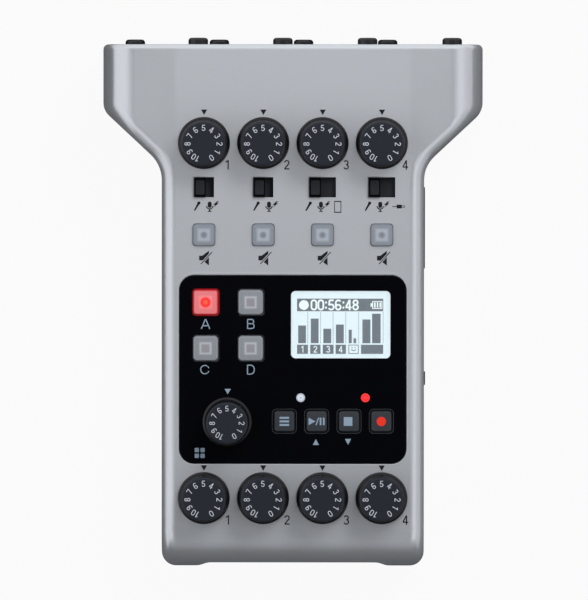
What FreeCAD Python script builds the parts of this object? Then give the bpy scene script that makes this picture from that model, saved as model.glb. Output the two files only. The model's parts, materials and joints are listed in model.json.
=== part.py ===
"""Four-channel podcast recorder, modelled piece by piece in millimetres.

The frame: +Z up, +X to the right seen from above, +Y towards the microphone sockets.
The origin is the centre of the footprint on the table, under the rubber feet.
The top slopes down to the front. Everything on it is placed in the panel frame, whose
origin is the middle of the top back edge: x to the right, y along the slope (negative
towards the front), z out of the panel.
"""
import FreeCAD, Part
import math
import os
import re

import Sketcher

Vector = FreeCAD.Vector

# Driving sizes in millimetres and degrees
SIZES = {
    # Case outline
    "wing_width": 112.0,
    "body_width": 77.5,
    "back_reach": 76.0,
    "front_reach": 78.0,
    "wing_edge": 19.5,
    "waist_from_back": 35.6,
    "shoulder_round": 5.3,
    "waist_round": 10.4,
    "case_top": 38.3,
    "panel_slope": 2.6,
    "flat_half": 34.6,
    "facet_slope": 2.5,
    "crease_round": 20.0,
    "front_round": 10.5,
    "side_round": 4.2,
    "back_round": 1.5,
    "wall": 2.0,
    "split_height": 5.0,
    "scoop_depth": 0.95,
    "scoop_half": 24.0,
    "scoop_blend": 5.0,
    # Clearances shared by the pieces
    "seat_gap": 0.15,
    "slide_gap": 0.2,
    "running_gap": 0.05,
    "hole_gap": 0.25,
    # Rows of controls, measured from the top back edge along the panel
    "channel_pitch": 17.5,
    "input_knob_row": 29.15,
    "input_switch_row": 42.25,
    "mute_row": 56.3,
    "phones_knob_row": 134.05,
    # Knobs and potentiometers
    "knob_width": 15.4,
    "knob_cap_width": 14.0,
    "pad_knob_width": 14.6,
    "pad_knob_cap_width": 13.2,
    "knob_height": 9.7,
    "knob_skirt": 1.5,
    "knob_lift": 0.4,
    "knob_edge": 0.6,
    "shaft_radius": 3.0,
    "shaft_socket": 7.0,
    "shaft_reach": 6.8,
    "pot_size": 9.4,
    "pot_height": 5.5,
    "pot_bore_depth": 4.5,
    # Slide switches beside the input knobs
    "switch_cap_width": 3.4,
    "switch_cap_depth": 5.6,
    "switch_cap_height": 1.1,
    "short_travel": 2.2,
    "long_travel": 4.2,
    "switch_plate_thick": 0.8,
    "switch_plate_margin": 1.0,
    "switch_plate_overlap": 0.3,
    "switch_stem": 1.6,
    "switch_stem_reach": 5.2,
    "switch_body_height": 4.4,
    "switch_body_wall": 1.2,
    "switch_slot_depth": 2.2,
    # Buttons and key switches
    "mute_size": 6.7,
    "pad_size": 7.7,
    "pad_pitch_across": 13.3,
    "pad_pitch_along": 13.6,
    "pad_centre": 19.0,
    "pad_row": 83.0,
    "pad_knob_centre": 19.35,
    "pad_knob_row": 111.5,
    "transport_centre": 11.85,
    "transport_pitch": 9.55,
    "transport_row": 111.35,
    "transport_skirt": 6.6,
    "transport_cap": 5.7,
    "transport_step": 0.5,
    "button_round": 1.0,
    "button_edge": 0.35,
    "button_height": 0.8,
    "button_travel": 0.8,
    "flange_margin": 0.9,
    "flange_thick": 0.8,
    "stem_radius": 1.1,
    "stem_reach": 5.4,
    "key_size": 6.0,
    "key_height": 3.4,
    "key_well_depth": 2.2,
    # Glossy display panel, window, display and lights
    "panel_width": 67.1,
    "panel_depth": 55.7,
    "panel_row": 96.05,
    "panel_corner": 4.45,
    "panel_seat": 1.0,
    "panel_proud": 0.2,
    "window_width": 29.3,
    "window_depth": 19.85,
    "window_centre": 14.15,
    "window_row": 82.8,
    "window_round": 1.3,
    "window_thick": 0.9,
    "glass_margin": 0.3,
    "display_margin": 1.4,
    "display_recess": 2.3,
    "light_radius": 1.15,
    "light_collar": 0.6,
    "light_chip": 1.0,
    "light_row": 104.4,
    "power_light_centre": 2.35,
    "record_light_centre": 21.45,
    # Boards
    "board_drop": 8.0,
    "board_thick": 1.6,
    "board_margin": 2.75,
    "control_board_back": 24.3,
    "control_board_front": 140.0,
    "main_board_top": 21.1,
    "main_board_row": 26.0,
    "main_board_inset": 4.0,
    "board_post_radius": 2.0,
    "board_post_inset": 2.8,
    "board_screw_radius": 0.9,
    "board_screw_head": 1.9,
    "board_screw_head_height": 1.1,
    "board_screw_grip": 4.5,
    "main_post_across": 20.0,
    "connector_length": 22.0,
    "connector_width": 4.0,
    "connector_row": -10.0,
    "connector_gap": 0.4,
    "connector_plug": 2.0,
    # Case screws and their posts
    "post_radius": 2.6,
    "post_hole_depth": 10.0,
    "case_screw_radius": 1.2,
    "case_screw_head": 2.3,
    "case_screw_head_height": 1.6,
    "wing_post_inset": 4.0,
    "wing_post_row": 10.0,
    "body_post_inset": 4.15,
    "front_post_inset": 9.0,
    "middle_post_row": 120.0,
    "waist_post_row": 34.0,
    # Microphone sockets in the back
    "mic_pitch": 25.0,
    "mic_height": 20.5,
    "mic_radius": 11.0,
    "mic_shell": 1.4,
    "mic_insert_radius": 7.9,
    "mic_insert_recess": 0.5,
    "mic_length": 23.0,
    "mic_base": 7.0,
    "mic_flange_width": 24.6,
    "mic_flange_height": 27.6,
    "mic_flange_thick": 1.8,
    "mic_screw_across": 19.0,
    "mic_screw_up": 24.0,
    "mic_screw_radius": 1.4,
    "mic_screw_head": 2.9,
    "mic_screw_head_height": 2.0,
    "mic_screw_length": 6.0,
    "mic_screw_round": 0.9,
    "cross_length": 3.2,
    "cross_width": 0.8,
    "cross_depth": 0.9,
    "pin_hole_radius": 1.35,
    "pin_radius": 1.05,
    "pin_circle": 4.0,
    "pin_mouth": 10.0,
    "pin_tail": 4.4,
    "pin_leg": 1.0,
    # Small jacks, ports, card and power switch
    "jack_height": 16.5,
    "jack_bore": 1.8,
    "jack_bore_depth": 14.5,
    "jack_nose": 3.1,
    "jack_nose_length": 1.2,
    "jack_width": 7.0,
    "jack_length": 14.0,
    "link_jack_row": 22.0,
    "port_width": 8.94,
    "port_height": 3.2,
    "port_length": 7.4,
    "port_metal": 0.3,
    "port_tongue_width": 6.7,
    "port_tongue_thick": 0.7,
    "port_tongue_length": 5.0,
    "port_set_back": 0.3,
    "data_port_row": 2.0,
    "power_port_row": -2.0,
    "card_width": 24.0,
    "card_length": 32.0,
    "card_thick": 2.1,
    "card_row": 22.0,
    "card_lift": 0.6,
    "card_proud": 0.3,
    "card_corner": 4.0,
    "card_play": 0.1,
    "card_travel": 28.0,
    "socket_wall": 1.6,
    "socket_roof": 0.6,
    "power_row": -24.0,
    "power_travel": 3.0,
    "power_body_length": 9.0,
    "power_body_depth": 5.0,
    "power_body_height": 4.0,
    "power_nub_length": 4.0,
    "power_nub_height": 2.0,
    "power_nub_proud": 0.4,
    "power_stem_length": 2.0,
    "power_stem_height": 1.4,
    "power_stem_reach": 2.2,
    # Bottom tray, feet and battery box
    "foot_height": 1.2,
    "foot_radius": 4.5,
    "foot_seat": 0.6,
    "foot_round": 0.5,
    "wing_foot_inset": 15.0,
    "wing_foot_row": 12.0,
    "front_foot_inset": 9.75,
    "front_foot_row": 130.0,
    "tray_inset": 0.4,
    "tray_floor": 2.0,
    "tray_round": 1.2,
    "lip_thick": 1.2,
    "lip_height": 1.4,
    "boss_radius": 4.0,
    "cell_radius": 7.1,
    "cell_length": 49.3,
    "cell_nub_radius": 2.75,
    "cell_nub_length": 1.2,
    "cell_pitch": 15.0,
    "cell_height": 10.1,
    "cell_play": 0.75,
    "battery_row": -24.0,
    "battery_room": 55.0,
    "battery_wall": 1.2,
    "battery_roof": 1.2,
    "contact_thick": 0.4,
    "contact_size": 11.0,
    "spring_wide": 4.5,
    "spring_narrow": 2.5,
    "door_thick": 1.4,
    "door_ledge": 1.2,
    "door_grip_width": 12.0,
    "door_grip_depth": 0.5,
    "door_grip_length": 3.0,
}

# Channels run left to right; the first two inputs have two-way switches, the others three-way
CHANNELS = (-1.5, -0.5, 0.5, 1.5)
SWITCH_TRAVELS = ("short_travel", "short_travel", "long_travel", "long_travel")
SIDES = (-1, 1)
PAD_NAMES = ("pad_button_a", "pad_button_b", "pad_button_c", "pad_button_d")
TRANSPORT_NAMES = ("menu_button", "play_button", "stop_button", "record_button")

# Screw posts along the body and along the boards, from front to back
BODY_POST_ROWS = (
    "front_post_inset - front_reach", "back_reach - middle_post_row", "back_reach - waist_post_row")
CONTROL_POST_ROWS = (-49.0, -100.0, -128.0)
MAIN_POST_ROWS = (-53.0, 3.0, 44.0)

# Widths and places that follow the case
BOARD_WIDTH = "(body_width - 2 * board_margin)"
MAIN_BOARD_BACK = "(back_reach - main_board_row)"
MAIN_BOARD_FRONT = "(front_reach - main_board_inset)"
MIC_REAR = "(back_reach - mic_length)"

NAMES_IN_SHEET = re.compile(r"[a-z][a-z_]*")

doc = FreeCAD.newDocument("podcast_recorder")
sheet = doc.addObject("Spreadsheet::Sheet", "sheet")
for row, (alias, value) in enumerate(SIZES.items(), start=1):
    sheet.set(f"A{row}", alias)
    sheet.set(f"B{row}", str(value))
    sheet.setAlias(f"B{row}", alias)
doc.recompute()

nodes = []


def size(name):
    """Value of one driving size."""
    return float(sheet.get(name))


def formula(text):
    """Expression text with each driving size read from the sheet."""
    def named(found):
        word = found.group(0)
        return f"sheet.{word}" if word in SIZES else word

    return NAMES_IN_SHEET.sub(named, str(text))


def bind(item, prop, text):
    """Tie a property to the driving sizes."""
    item.setExpression(prop, formula(text))


def add(kind, name):
    """New document object with a unique name."""
    return doc.addObject(kind, name)


def place(item, x="0", y="0", z="0"):
    """Tie an object's place to the driving sizes, its turn kept."""
    for key, text in zip("xyz", (x, y, z)):
        bind(item, f"Placement.Base.{key}", text)
    return item


def on_panel(item, x="0", along="0"):
    """Seat an object on the sloping panel, at a point given from the top back edge."""
    item.Placement = FreeCAD.Placement(Vector(), FreeCAD.Rotation(Vector(1, 0, 0), 1.0))
    bind(item, "Placement.Rotation.Angle", "panel_slope")
    return place(
        item,
        x,
        f"back_reach + ({along}) * cos(panel_slope)",
        f"case_top + ({along}) * sin(panel_slope)",
    )


def block(name, length, width, height, x="0", y="0", z="0"):
    """Box centred on x and y, standing on z."""
    item = add("Part::Box", name)
    bind(item, "Length", length)
    bind(item, "Width", width)
    bind(item, "Height", height)
    return place(item, f"({x}) - ({length}) / 2", f"({y}) - ({width}) / 2", z)


TURNS = {
    "z": FreeCAD.Rotation(),
    "y": FreeCAD.Rotation(Vector(1, 0, 0), -90),
    "x": FreeCAD.Rotation(Vector(0, 1, 0), 90),
    "-x": FreeCAD.Rotation(Vector(0, 1, 0), -90),
}


def rod(name, radius, length, x="0", y="0", z="0", along="z"):
    """Cylinder that starts at a point and runs along an axis."""
    item = add("Part::Cylinder", name)
    bind(item, "Radius", radius)
    bind(item, "Height", length)
    item.Placement = FreeCAD.Placement(Vector(), TURNS[along])
    return place(item, x, y, z)


def cut(name, base, *tools):
    """Base with the tools taken away."""
    item = add("Part::Cut", name)
    item.Base = base
    item.Tool = tools[0] if len(tools) == 1 else fuse(f"{name}_tools", *tools)
    return item


def fuse(name, *pieces):
    """One solid made of touching pieces."""
    item = add("Part::MultiFuse", name)
    item.Shapes = list(pieces)
    item.Refine = True
    return item


def common(name, first, second):
    """What two objects share."""
    item = add("Part::MultiCommon", name)
    item.Shapes = [first, second]
    return item


def group(name, *pieces):
    """Separate solids that share one object."""
    item = add("Part::Compound", name)
    item.Links = list(pieces)
    return item


def node(label, item):
    """Keep an object as a sub-part that gets a file of its own."""
    item.Label = label
    nodes.append(item)
    return item


def origin_plane(body, role):
    """One of a body's own origin planes."""
    return next(f for f in body.Origin.OriginFeatures if f.Role == role)


def attach(body, role, name):
    """Empty sketch on a body's origin plane."""
    sketch = body.newObject("Sketcher::SketchObject", name)
    sketch.AttachmentSupport = (origin_plane(body, role), [""])
    sketch.MapMode = "FlatFace"
    return sketch


def evaluate(text):
    """Number that a formula gives with the present sizes."""
    return float(sheet.evalExpression(formula(text)))


def outline(sketch, points):
    """Closed outline whose corners are tied to formulas; a corner on an axis has 0 there."""
    values = [(evaluate(x), evaluate(y)) for x, y in points]
    count = len(points)
    for i, (x, y) in enumerate(values):
        after = values[(i + 1) % count]
        sketch.addGeometry(Part.LineSegment(Vector(x, y, 0), Vector(after[0], after[1], 0)), False)
    for i in range(count):
        sketch.addConstraint(Sketcher.Constraint("Coincident", i, 2, (i + 1) % count, 1))
    for i, (x, y) in enumerate(points):
        across, up = values[i]
        for kind, axis, text, value in (("DistanceX", -2, x, across), ("DistanceY", -1, y, up)):
            if text == "0":
                sketch.addConstraint(Sketcher.Constraint("PointOnObject", i, 1, axis))
                continue
            index = sketch.addConstraint(Sketcher.Constraint(kind, -1, 1, i, 1, value))
            sketch.setExpression(f"Constraints[{index}]", formula(text))
    return sketch


def rectangle(length, width):
    """Corners of a rectangle centred on the origin."""
    half_x = f"({length}) / 2"
    half_y = f"({width}) / 2"
    return [
        (f"-{half_x}", f"-{half_y}"),
        (half_x, f"-{half_y}"),
        (half_x, half_y),
        (f"-{half_x}", half_y),
    ]


def edge_names(shape, wanted):
    """Names of the edges for which a test on both end points holds."""
    names = []
    for i, edge in enumerate(shape.Edges, start=1):
        first = edge.Vertexes[0].Point
        last = edge.Vertexes[-1].Point
        if wanted(first, last):
            names.append(f"Edge{i}")
    return names


def is_upright(first, last):
    """True for an edge that runs straight up."""
    return math.hypot(first.x - last.x, first.y - last.y) < 1e-6 and abs(first.z - last.z) > 1e-6


def at_height(height):
    """Test for edges that lie level at a height."""
    return lambda first, last: abs(first.z - height) < 1e-6 and abs(last.z - height) < 1e-6


def round_edges(body, feature, wanted, radius, name):
    """Round a body's chosen edges."""
    doc.recompute()
    fillet = body.newObject("PartDesign::Fillet", name)
    fillet.Base = (feature, edge_names(feature.Shape, wanted))
    bind(fillet, "Radius", radius)
    doc.recompute()
    return fillet


def rounded_plate(name, length, width, height, corner, bottom="0", rim=None):
    """Body: a plate centred on its origin, its corners rounded and then its upper rim."""
    body = add("PartDesign::Body", name)
    sketch = outline(attach(body, "XY_Plane", f"{name}_outline"), rectangle(length, width))
    pad = body.newObject("PartDesign::Pad", f"{name}_pad")
    pad.Profile = sketch
    bind(pad, "Length", height)
    last = round_edges(body, pad, is_upright, corner, f"{name}_corners")
    if rim is not None:
        last = round_edges(body, last, at_height(last.Shape.BoundBox.ZMax), rim, f"{name}_rim")
    place(body, z=bottom)
    return body


def turned(name, points):
    """Body: a profile of (radius, height) corners turned about the upright axis."""
    body = add("PartDesign::Body", name)
    sketch = outline(attach(body, "XZ_Plane", f"{name}_profile"), points)
    spin = body.newObject("PartDesign::Revolution", f"{name}_turn")
    spin.Profile = sketch
    spin.ReferenceAxis = (sketch, ["V_Axis"])
    spin.Angle = 360
    doc.recompute()
    return body


def copy_on_panel(name, item, x, along):
    """Another copy of a piece, at a point of the panel."""
    return on_panel(group(name, item), x, along)


def copy_at(name, item, x="0", y="0", z="0", turn=None):
    """Another copy of a piece, moved and turned."""
    copy = group(name, item)
    if turn is not None:
        copy.Placement = FreeCAD.Placement(Vector(), turn)
    return place(copy, x, y, z)


def channel_x(channel):
    """Distance of a channel's controls from the middle."""
    return f"{channel} * channel_pitch"


def plan_prism(inset, bottom, top, stretch=0.0):
    """Solid of the case's outline seen from above, drawn in by an inset all round.

    The wings narrow to the body along two slanted edges whose corners are rounded.
    """
    wing = size("wing_width") / 2
    body = size("body_width") / 2
    shoulder = Vector(wing, size("back_reach") - size("wing_edge"), 0)
    waist = Vector(body, size("back_reach") - size("waist_from_back"), 0)
    slant = (waist - shoulder).normalize()
    inwards = Vector(slant.y, -slant.x, 0)
    start = shoulder + inwards * inset

    def slant_y(x):
        return start.y + (x - start.x) * slant.y / slant.x

    back = size("back_reach") - inset
    front = -size("front_reach") + inset - stretch
    half = [
        (wing - inset, back),
        (wing - inset, slant_y(wing - inset)),
        (body - inset, slant_y(body - inset)),
        (body - inset, front),
    ]
    corners = half + [(-x, y) for x, y in reversed(half)]
    points = [Vector(x, y, bottom) for x, y in corners]
    prism = Part.Face(Part.makePolygon(points + points[:1])).extrude(Vector(0, 0, top - bottom))
    rounds = ((half[1], size("shoulder_round") - inset), (half[2], size("waist_round") + inset))
    for (x, y), radius in rounds:
        edges = [
            e for e in prism.Edges
            if all(math.hypot(abs(v.X) - x, v.Y - y) < 1e-6 for v in e.Vertexes)
        ]
        prism = prism.makeFillet(radius, edges)
    return prism


def roof_solid(inset):
    """Solid under the top skin: a flat middle between two shallow side facets.

    The section runs down the slope, turns over the front edge and runs down the front.
    """
    slope = math.radians(size("panel_slope"))
    along = Vector(0, math.cos(slope), math.sin(slope))
    outwards = Vector(0, -math.sin(slope), math.cos(slope))
    radius = size("front_round") - inset
    flat = size("flat_half")
    reach = size("wing_width")
    drop = (reach - flat) * math.tan(math.radians(size("facet_slope")))
    front = -size("front_reach") + inset
    centre_y = front + radius
    top_there = size("case_top") - (size("back_reach") - centre_y) * math.tan(slope)
    centre_z = top_there - (inset + radius) / math.cos(slope)
    centre = Vector(0, centre_y, centre_z)

    bend = math.radians(size("facet_slope"))
    soft = size("crease_round") - inset
    near = flat - soft * math.tan(bend / 2)

    def section(origin, up, depth):
        def at(x, h):
            return origin + Vector(x, 0, 0) + up * h

        def on_bend(side, turn):
            return at(side * (near + soft * math.sin(turn)), -soft * (1 - math.cos(turn)))

        corners = [at(-reach, -drop), at(reach, -drop), at(reach, -depth), at(-reach, -depth)]
        edges = []
        for side in SIDES:
            bent = Part.Arc(on_bend(side, 0), on_bend(side, bend / 2), on_bend(side, bend))
            edges.append(bent.toShape())
            edges.append(Part.makeLine(on_bend(side, bend), at(side * reach, -drop)))
        edges.append(Part.makeLine(on_bend(-1, 0), on_bend(1, 0)))
        edges += [Part.makeLine(corners[i], corners[(i + 1) % 4]) for i in (1, 2, 3)]
        return Part.Face(Part.Wire(Part.__sortEdges__(edges)))

    crease = centre + outwards * radius
    run = (size("back_reach") - crease.y) / math.cos(slope) + size("wall")
    top = section(crease, outwards, size("case_top") * 2).extrude(along * run)
    nose = section(crease, outwards, radius).revolve(centre, Vector(1, 0, 0), 90 - size("panel_slope"))
    edge = Vector(0, front, centre_z)
    front_face = section(edge, Vector(0, -1, 0), radius + size("wall") * 2)
    face = front_face.extrude(Vector(0, 0, -size("case_top") * 2))
    return top.fuse([nose, face]).removeSplitter()


def case_form(inset, bottom):
    """The case's whole form at an inset from its outer skin, rounded along its upper edges.

    It starts at the left front corner and at the right wing, and carries on along each
    side from the front corner to the back face, because the edges meet smoothly.
    """
    high = size("case_top") * 2
    prism = plan_prism(inset, bottom, high, stretch=size("front_round"))
    form = prism.common(roof_solid(inset)).removeSplitter().Solids[0]
    body = size("body_width") / 2 - inset
    wing = size("wing_width") / 2 - inset
    starts = []
    for edge in form.Edges:
        first = edge.Vertexes[0].Point
        last = edge.Vertexes[-1].Point
        upright = is_upright(first, last)
        left_corner = upright and first.y < 0 and abs(first.x + body) < 1e-4
        right_wing = not upright and min(first.z, last.z) > bottom and min(first.x, last.x) > wing - 1e-4
        if left_corner or right_wing:
            starts.append(edge)
    return form.makeFillet(size("side_round") - inset, starts)


def back_rounded(form):
    """The form with the rim of its back face rounded."""
    back = size("back_reach")
    low = form.BoundBox.ZMin
    rim = []
    for edge in form.Edges:
        ends = edge.Vertexes
        on_back = all(abs(v.Y - back) < 1e-4 for v in ends)
        if on_back and not all(abs(v.Z - low) < 1e-4 for v in ends):
            rim.append(edge)
    return form.makeFillet(size("back_round"), rim)


def scoop_solid():
    """Shallow hollow of the front face between its two lobes, with soft S-shaped ends."""
    depth = size("scoop_depth")
    half = size("scoop_half")
    blend = size("scoop_blend")
    front = -size("front_reach")
    inner = front + depth

    def ess(side):
        ends = (Vector(side * half, inner, 0), Vector(side * (half + blend), front, 0))
        turn = Vector(side * blend / 2, 0, 0)
        curve = Part.BezierCurve()
        curve.setPoles([ends[0], ends[0] + turn, ends[1] - turn, ends[1]])
        return curve.toShape()

    wide = Vector(half + blend, front, 0)
    outer = Vector(half + blend, front - depth, 0)
    edges = [
        ess(-1),
        Part.makeLine(Vector(-half, inner, 0), Vector(half, inner, 0)),
        ess(1),
        Part.makeLine(wide, outer),
        Part.makeLine(outer, Vector(-outer.x, outer.y, 0)),
        Part.makeLine(Vector(-outer.x, outer.y, 0), Vector(-wide.x, wide.y, 0)),
    ]
    wire = Part.Wire(Part.__sortEdges__(edges))
    return Part.Face(wire).extrude(Vector(0, 0, size("case_top")))


def shaped(name, shape):
    """Document object that holds a worked-out shape."""
    item = add("Part::Feature", name)
    item.Shape = shape
    return item


def knob_places():
    """Each knob's name with its x and its place along the panel."""
    rows = [(f"input_knob_{i + 1}", channel_x(c), "-input_knob_row") for i, c in enumerate(CHANNELS)]
    rows.append(("pad_knob", "-pad_knob_centre", "-pad_knob_row"))
    rows += [(f"phones_knob_{i + 1}", channel_x(c), "-phones_knob_row") for i, c in enumerate(CHANNELS)]
    return rows


def mute_places():
    """Each mute button's name with its place on the panel."""
    return [(f"mute_button_{i + 1}", channel_x(c), "-mute_row") for i, c in enumerate(CHANNELS)]


def pad_places():
    """Each pad's name with its place on the panel, back row first."""
    places = []
    for name, (side, row) in zip(PAD_NAMES, ((-0.5, 0.5), (0.5, 0.5), (-0.5, -0.5), (0.5, -0.5))):
        x = f"-pad_centre + {side} * pad_pitch_across"
        places.append((name, x, f"-pad_row - pad_pitch_along * {-row}"))
    return places


def transport_places():
    """Each transport button's name with its place on the panel."""
    return [
        (name, f"transport_centre + {step} * transport_pitch", "-transport_row")
        for name, step in zip(TRANSPORT_NAMES, CHANNELS)
    ]


def light_places():
    """Each light's name with its place on the panel."""
    return [(name, f"{name}_centre", "-light_row") for name in ("power_light", "record_light")]


def case_post_places():
    """Where the case screws stand, seen from above."""
    wing_x = "(wing_width / 2 - wing_post_inset)"
    body_x = "(body_width / 2 - body_post_inset)"
    places = [(f"{side} * {wing_x}", "back_reach - wing_post_row") for side in SIDES]
    return places + [(f"{side} * {body_x}", row) for row in BODY_POST_ROWS for side in SIDES]


def control_post_places():
    """Where the control board hangs under the panel."""
    across = f"({BOARD_WIDTH} / 2 - board_post_inset)"
    return [(f"{side} * {across}", str(row)) for row in CONTROL_POST_ROWS for side in SIDES]


def main_post_places():
    """Where the main board stands on the tray."""
    return [(f"{side} * main_post_across", str(row)) for row in MAIN_POST_ROWS for side in SIDES]


def mic_places():
    """Distance of each microphone socket from the middle."""
    return [f"{channel} * mic_pitch" for channel in CHANNELS]


def mic_screw_places():
    """Each socket's two flange screws, on one diagonal."""
    return [
        (f"({x}) + {side} * mic_screw_across / 2", f"mic_height + {side} * mic_screw_up / 2")
        for x in mic_places() for side in SIDES
    ]


# Formulas that several pieces share
SWITCH_OPENING = "(switch_cap_width + {travel} + 2 * slide_gap)"
JACK_FACE = "(front_reach - scoop_depth)"
POST_BOTTOM = "split_height"
BOX_DEPTH = "(2 * cell_radius + cell_pitch + 2 * cell_play)"
BOX_TOP = "(cell_height + cell_radius + cell_play)"
DOOR_LENGTH = "(battery_room + 2 * slide_gap)"
DOOR_DEPTH = "(2 * cell_radius + cell_pitch + 4 * cell_play)"


def build_case():
    """Upper case: the silver moulding with its posts and every opening."""
    skin = shaped("case_skin", back_rounded(case_form(0.0, size("split_height"))))
    core = shaped("case_core", case_form(size("wall") / 2, size("split_height")))
    hollow = shaped("case_hollow", case_form(size("wall"), 0.0))
    scoop = shaped("front_scoop", scoop_solid())
    posts = [
        rod(f"case_post_{i}", "post_radius", "case_top", x, y, POST_BOTTOM)
        for i, (x, y) in enumerate(case_post_places())
    ]
    board_posts = [
        rod(f"board_post_{i}", "board_post_radius", "board_drop - wall / 2", x, y, "-board_drop")
        for i, (x, y) in enumerate(control_post_places())
    ]
    hangers = on_panel(group("board_posts", *board_posts))
    shell = cut("case_shell", skin, hollow)
    inside = common("case_posts", fuse("case_post_rods", *posts), core)
    whole = fuse("case_whole", shell, inside, hangers)
    pilots = [
        rod(f"case_pilot_{i}", "case_screw_radius + running_gap", "post_hole_depth", x, y, POST_BOTTOM)
        for i, (x, y) in enumerate(case_post_places())
    ]
    board_pilots = [
        rod(f"board_pilot_{i}", "board_screw_radius + running_gap", "board_screw_grip", x, y, "-board_drop")
        for i, (x, y) in enumerate(control_post_places())
    ]
    openings = on_panel(group("panel_openings", *panel_openings(), *board_pilots))
    sides = group("case_openings", *side_openings(), *pilots)
    return node("upper_case", cut("upper_case", whole, scoop, openings, sides))


def panel_openings():
    """Openings of the top: shaft holes, button and switch openings, and the display's seat."""
    tools = []
    for name, x, along in knob_places():
        tools.append(rod(f"{name}_hole", "shaft_radius + hole_gap", "wall * 2", x, along, "-wall * 1.5"))
    for name, x, along in light_places():
        tools.append(rod(f"{name}_hole", "light_radius + seat_gap", "wall * 2", x, along, "-wall * 1.5"))
    through = rounded_plate(
        "mute_opening", "mute_size + 2 * slide_gap", "mute_size + 2 * slide_gap", "wall * 2",
        "button_round + slide_gap", "-wall * 1.5")
    tools += [place(group(f"{name}_opening", through), x, along) for name, x, along in mute_places()]
    through = rounded_plate(
        "pad_opening", "pad_size + 2 * slide_gap", "pad_size + 2 * slide_gap", "wall * 2",
        "button_round + slide_gap", "-wall * 1.5")
    tools += [place(group(f"{name}_opening", through), x, along) for name, x, along in pad_places()]
    through = rounded_plate(
        "transport_opening", "transport_skirt + 2 * slide_gap", "transport_skirt + 2 * slide_gap",
        "wall * 2", "button_round + slide_gap", "-wall * 1.5")
    tools += [place(group(f"{name}_opening", through), x, along) for name, x, along in transport_places()]
    for i, (channel, travel) in enumerate(zip(CHANNELS, SWITCH_TRAVELS)):
        tools.append(block(
            f"switch_opening_{i + 1}", SWITCH_OPENING.format(travel=travel),
            "switch_cap_depth + 2 * slide_gap", "wall * 2", channel_x(channel), "-input_switch_row",
            "-wall * 1.5"))
    tools.append(block(
        "display_opening", "window_width + 2 * glass_margin", "window_depth + 2 * glass_margin",
        "wall * 2", "window_centre", "-window_row", "-wall * 1.5"))
    seat = rounded_plate(
        "panel_seat_tool", "panel_width + 2 * seat_gap", "panel_depth + 2 * seat_gap", "wall",
        "panel_corner + seat_gap")
    place(seat, "0", "-panel_row", "-panel_seat")
    return [seat, *tools]


def side_openings():
    """Openings of the back, the front and both sides."""
    tools = []
    deep = "wall * 3"
    for i, x in enumerate(mic_places()):
        tools.append(rod(
            f"mic_opening_{i + 1}", "mic_radius + slide_gap", deep, x, "back_reach - wall * 1.5",
            "mic_height", "y"))
    for i, (x, z) in enumerate(mic_screw_places()):
        tools.append(rod(
            f"mic_screw_hole_{i}", "mic_screw_radius + slide_gap", deep, x, "back_reach - wall * 1.5",
            z, "y"))
    for i, channel in enumerate(CHANNELS):
        tools.append(rod(
            f"phones_opening_{i + 1}", "jack_nose + seat_gap", deep, channel_x(channel),
            "-front_reach - wall", "jack_height", "y"))
    tools.append(rod(
        "link_opening", "jack_nose + seat_gap", deep, "-body_width / 2 - wall", "link_jack_row",
        "jack_height", "x"))
    port_z = "main_board_top - board_thick - port_height - seat_gap"
    for name, side, row in (("data", -1, "data_port_row"), ("power", 1, "power_port_row")):
        tools.append(block(
            f"{name}_port_opening", deep, "port_width + 2 * seat_gap", "port_height + 2 * seat_gap",
            f"{side} * body_width / 2", row, port_z))
    tools.append(block(
        "card_opening", deep, "card_width + 2 * slide_gap", "card_thick + 2 * slide_gap",
        "body_width / 2", "card_row", "main_board_top + card_lift - slide_gap"))
    tools.append(block(
        "power_slot", deep, "power_nub_length + power_travel + 2 * slide_gap",
        "power_nub_height + 2 * slide_gap", "body_width / 2", "power_row",
        "main_board_top - board_thick - power_body_height / 2 - power_nub_height / 2 - slide_gap"))
    return tools


def tray_form(inset, bottom, top):
    """The case's outline at an inset, between two heights."""
    reach = size("wing_width")
    slab = Part.makeBox(2 * reach, 2 * reach, top - bottom, Vector(-reach, -reach, bottom))
    return case_form(inset, bottom).common(slab).removeSplitter().Solids[0]


def tray_pan():
    """The tray's floor and side walls, its lower rim rounded and its front following the case."""
    inset = size("tray_inset")
    foot = size("foot_height")
    split = size("split_height")
    scoop = scoop_solid()
    scoop.translate(Vector(0, inset, 0))
    outer = tray_form(inset, foot, split).cut(scoop).removeSplitter().Solids[0]
    rim = [e for e in outer.Edges if all(abs(v.Z - foot) < 1e-6 for v in e.Vertexes)]
    outer = shaped("tray_outer", outer.makeFillet(size("tray_round"), rim))
    hollow = shaped("tray_hollow", tray_form(inset + size("wall"), foot + size("tray_floor"), split + foot))
    return cut("tray_pan", outer, hollow)


def tray_lip():
    """The ring that stands up inside the upper case, open where the screw posts stand."""
    clear = size("wall") + size("seat_gap")
    floor = size("foot_height") + size("tray_floor")
    top = size("split_height") + size("lip_height")
    outer = shaped("lip_outer", tray_form(clear, floor, top))
    inner = shaped("lip_inner", tray_form(clear + size("lip_thick"), 0.0, top + floor))
    passes = [
        rod(f"lip_pass_{i}", "post_radius + slide_gap", "case_top", x, y, POST_BOTTOM)
        for i, (x, y) in enumerate(case_post_places())
    ]
    return cut("tray_lip", cut("tray_ring", outer, inner), group("lip_passes", *passes))


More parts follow.
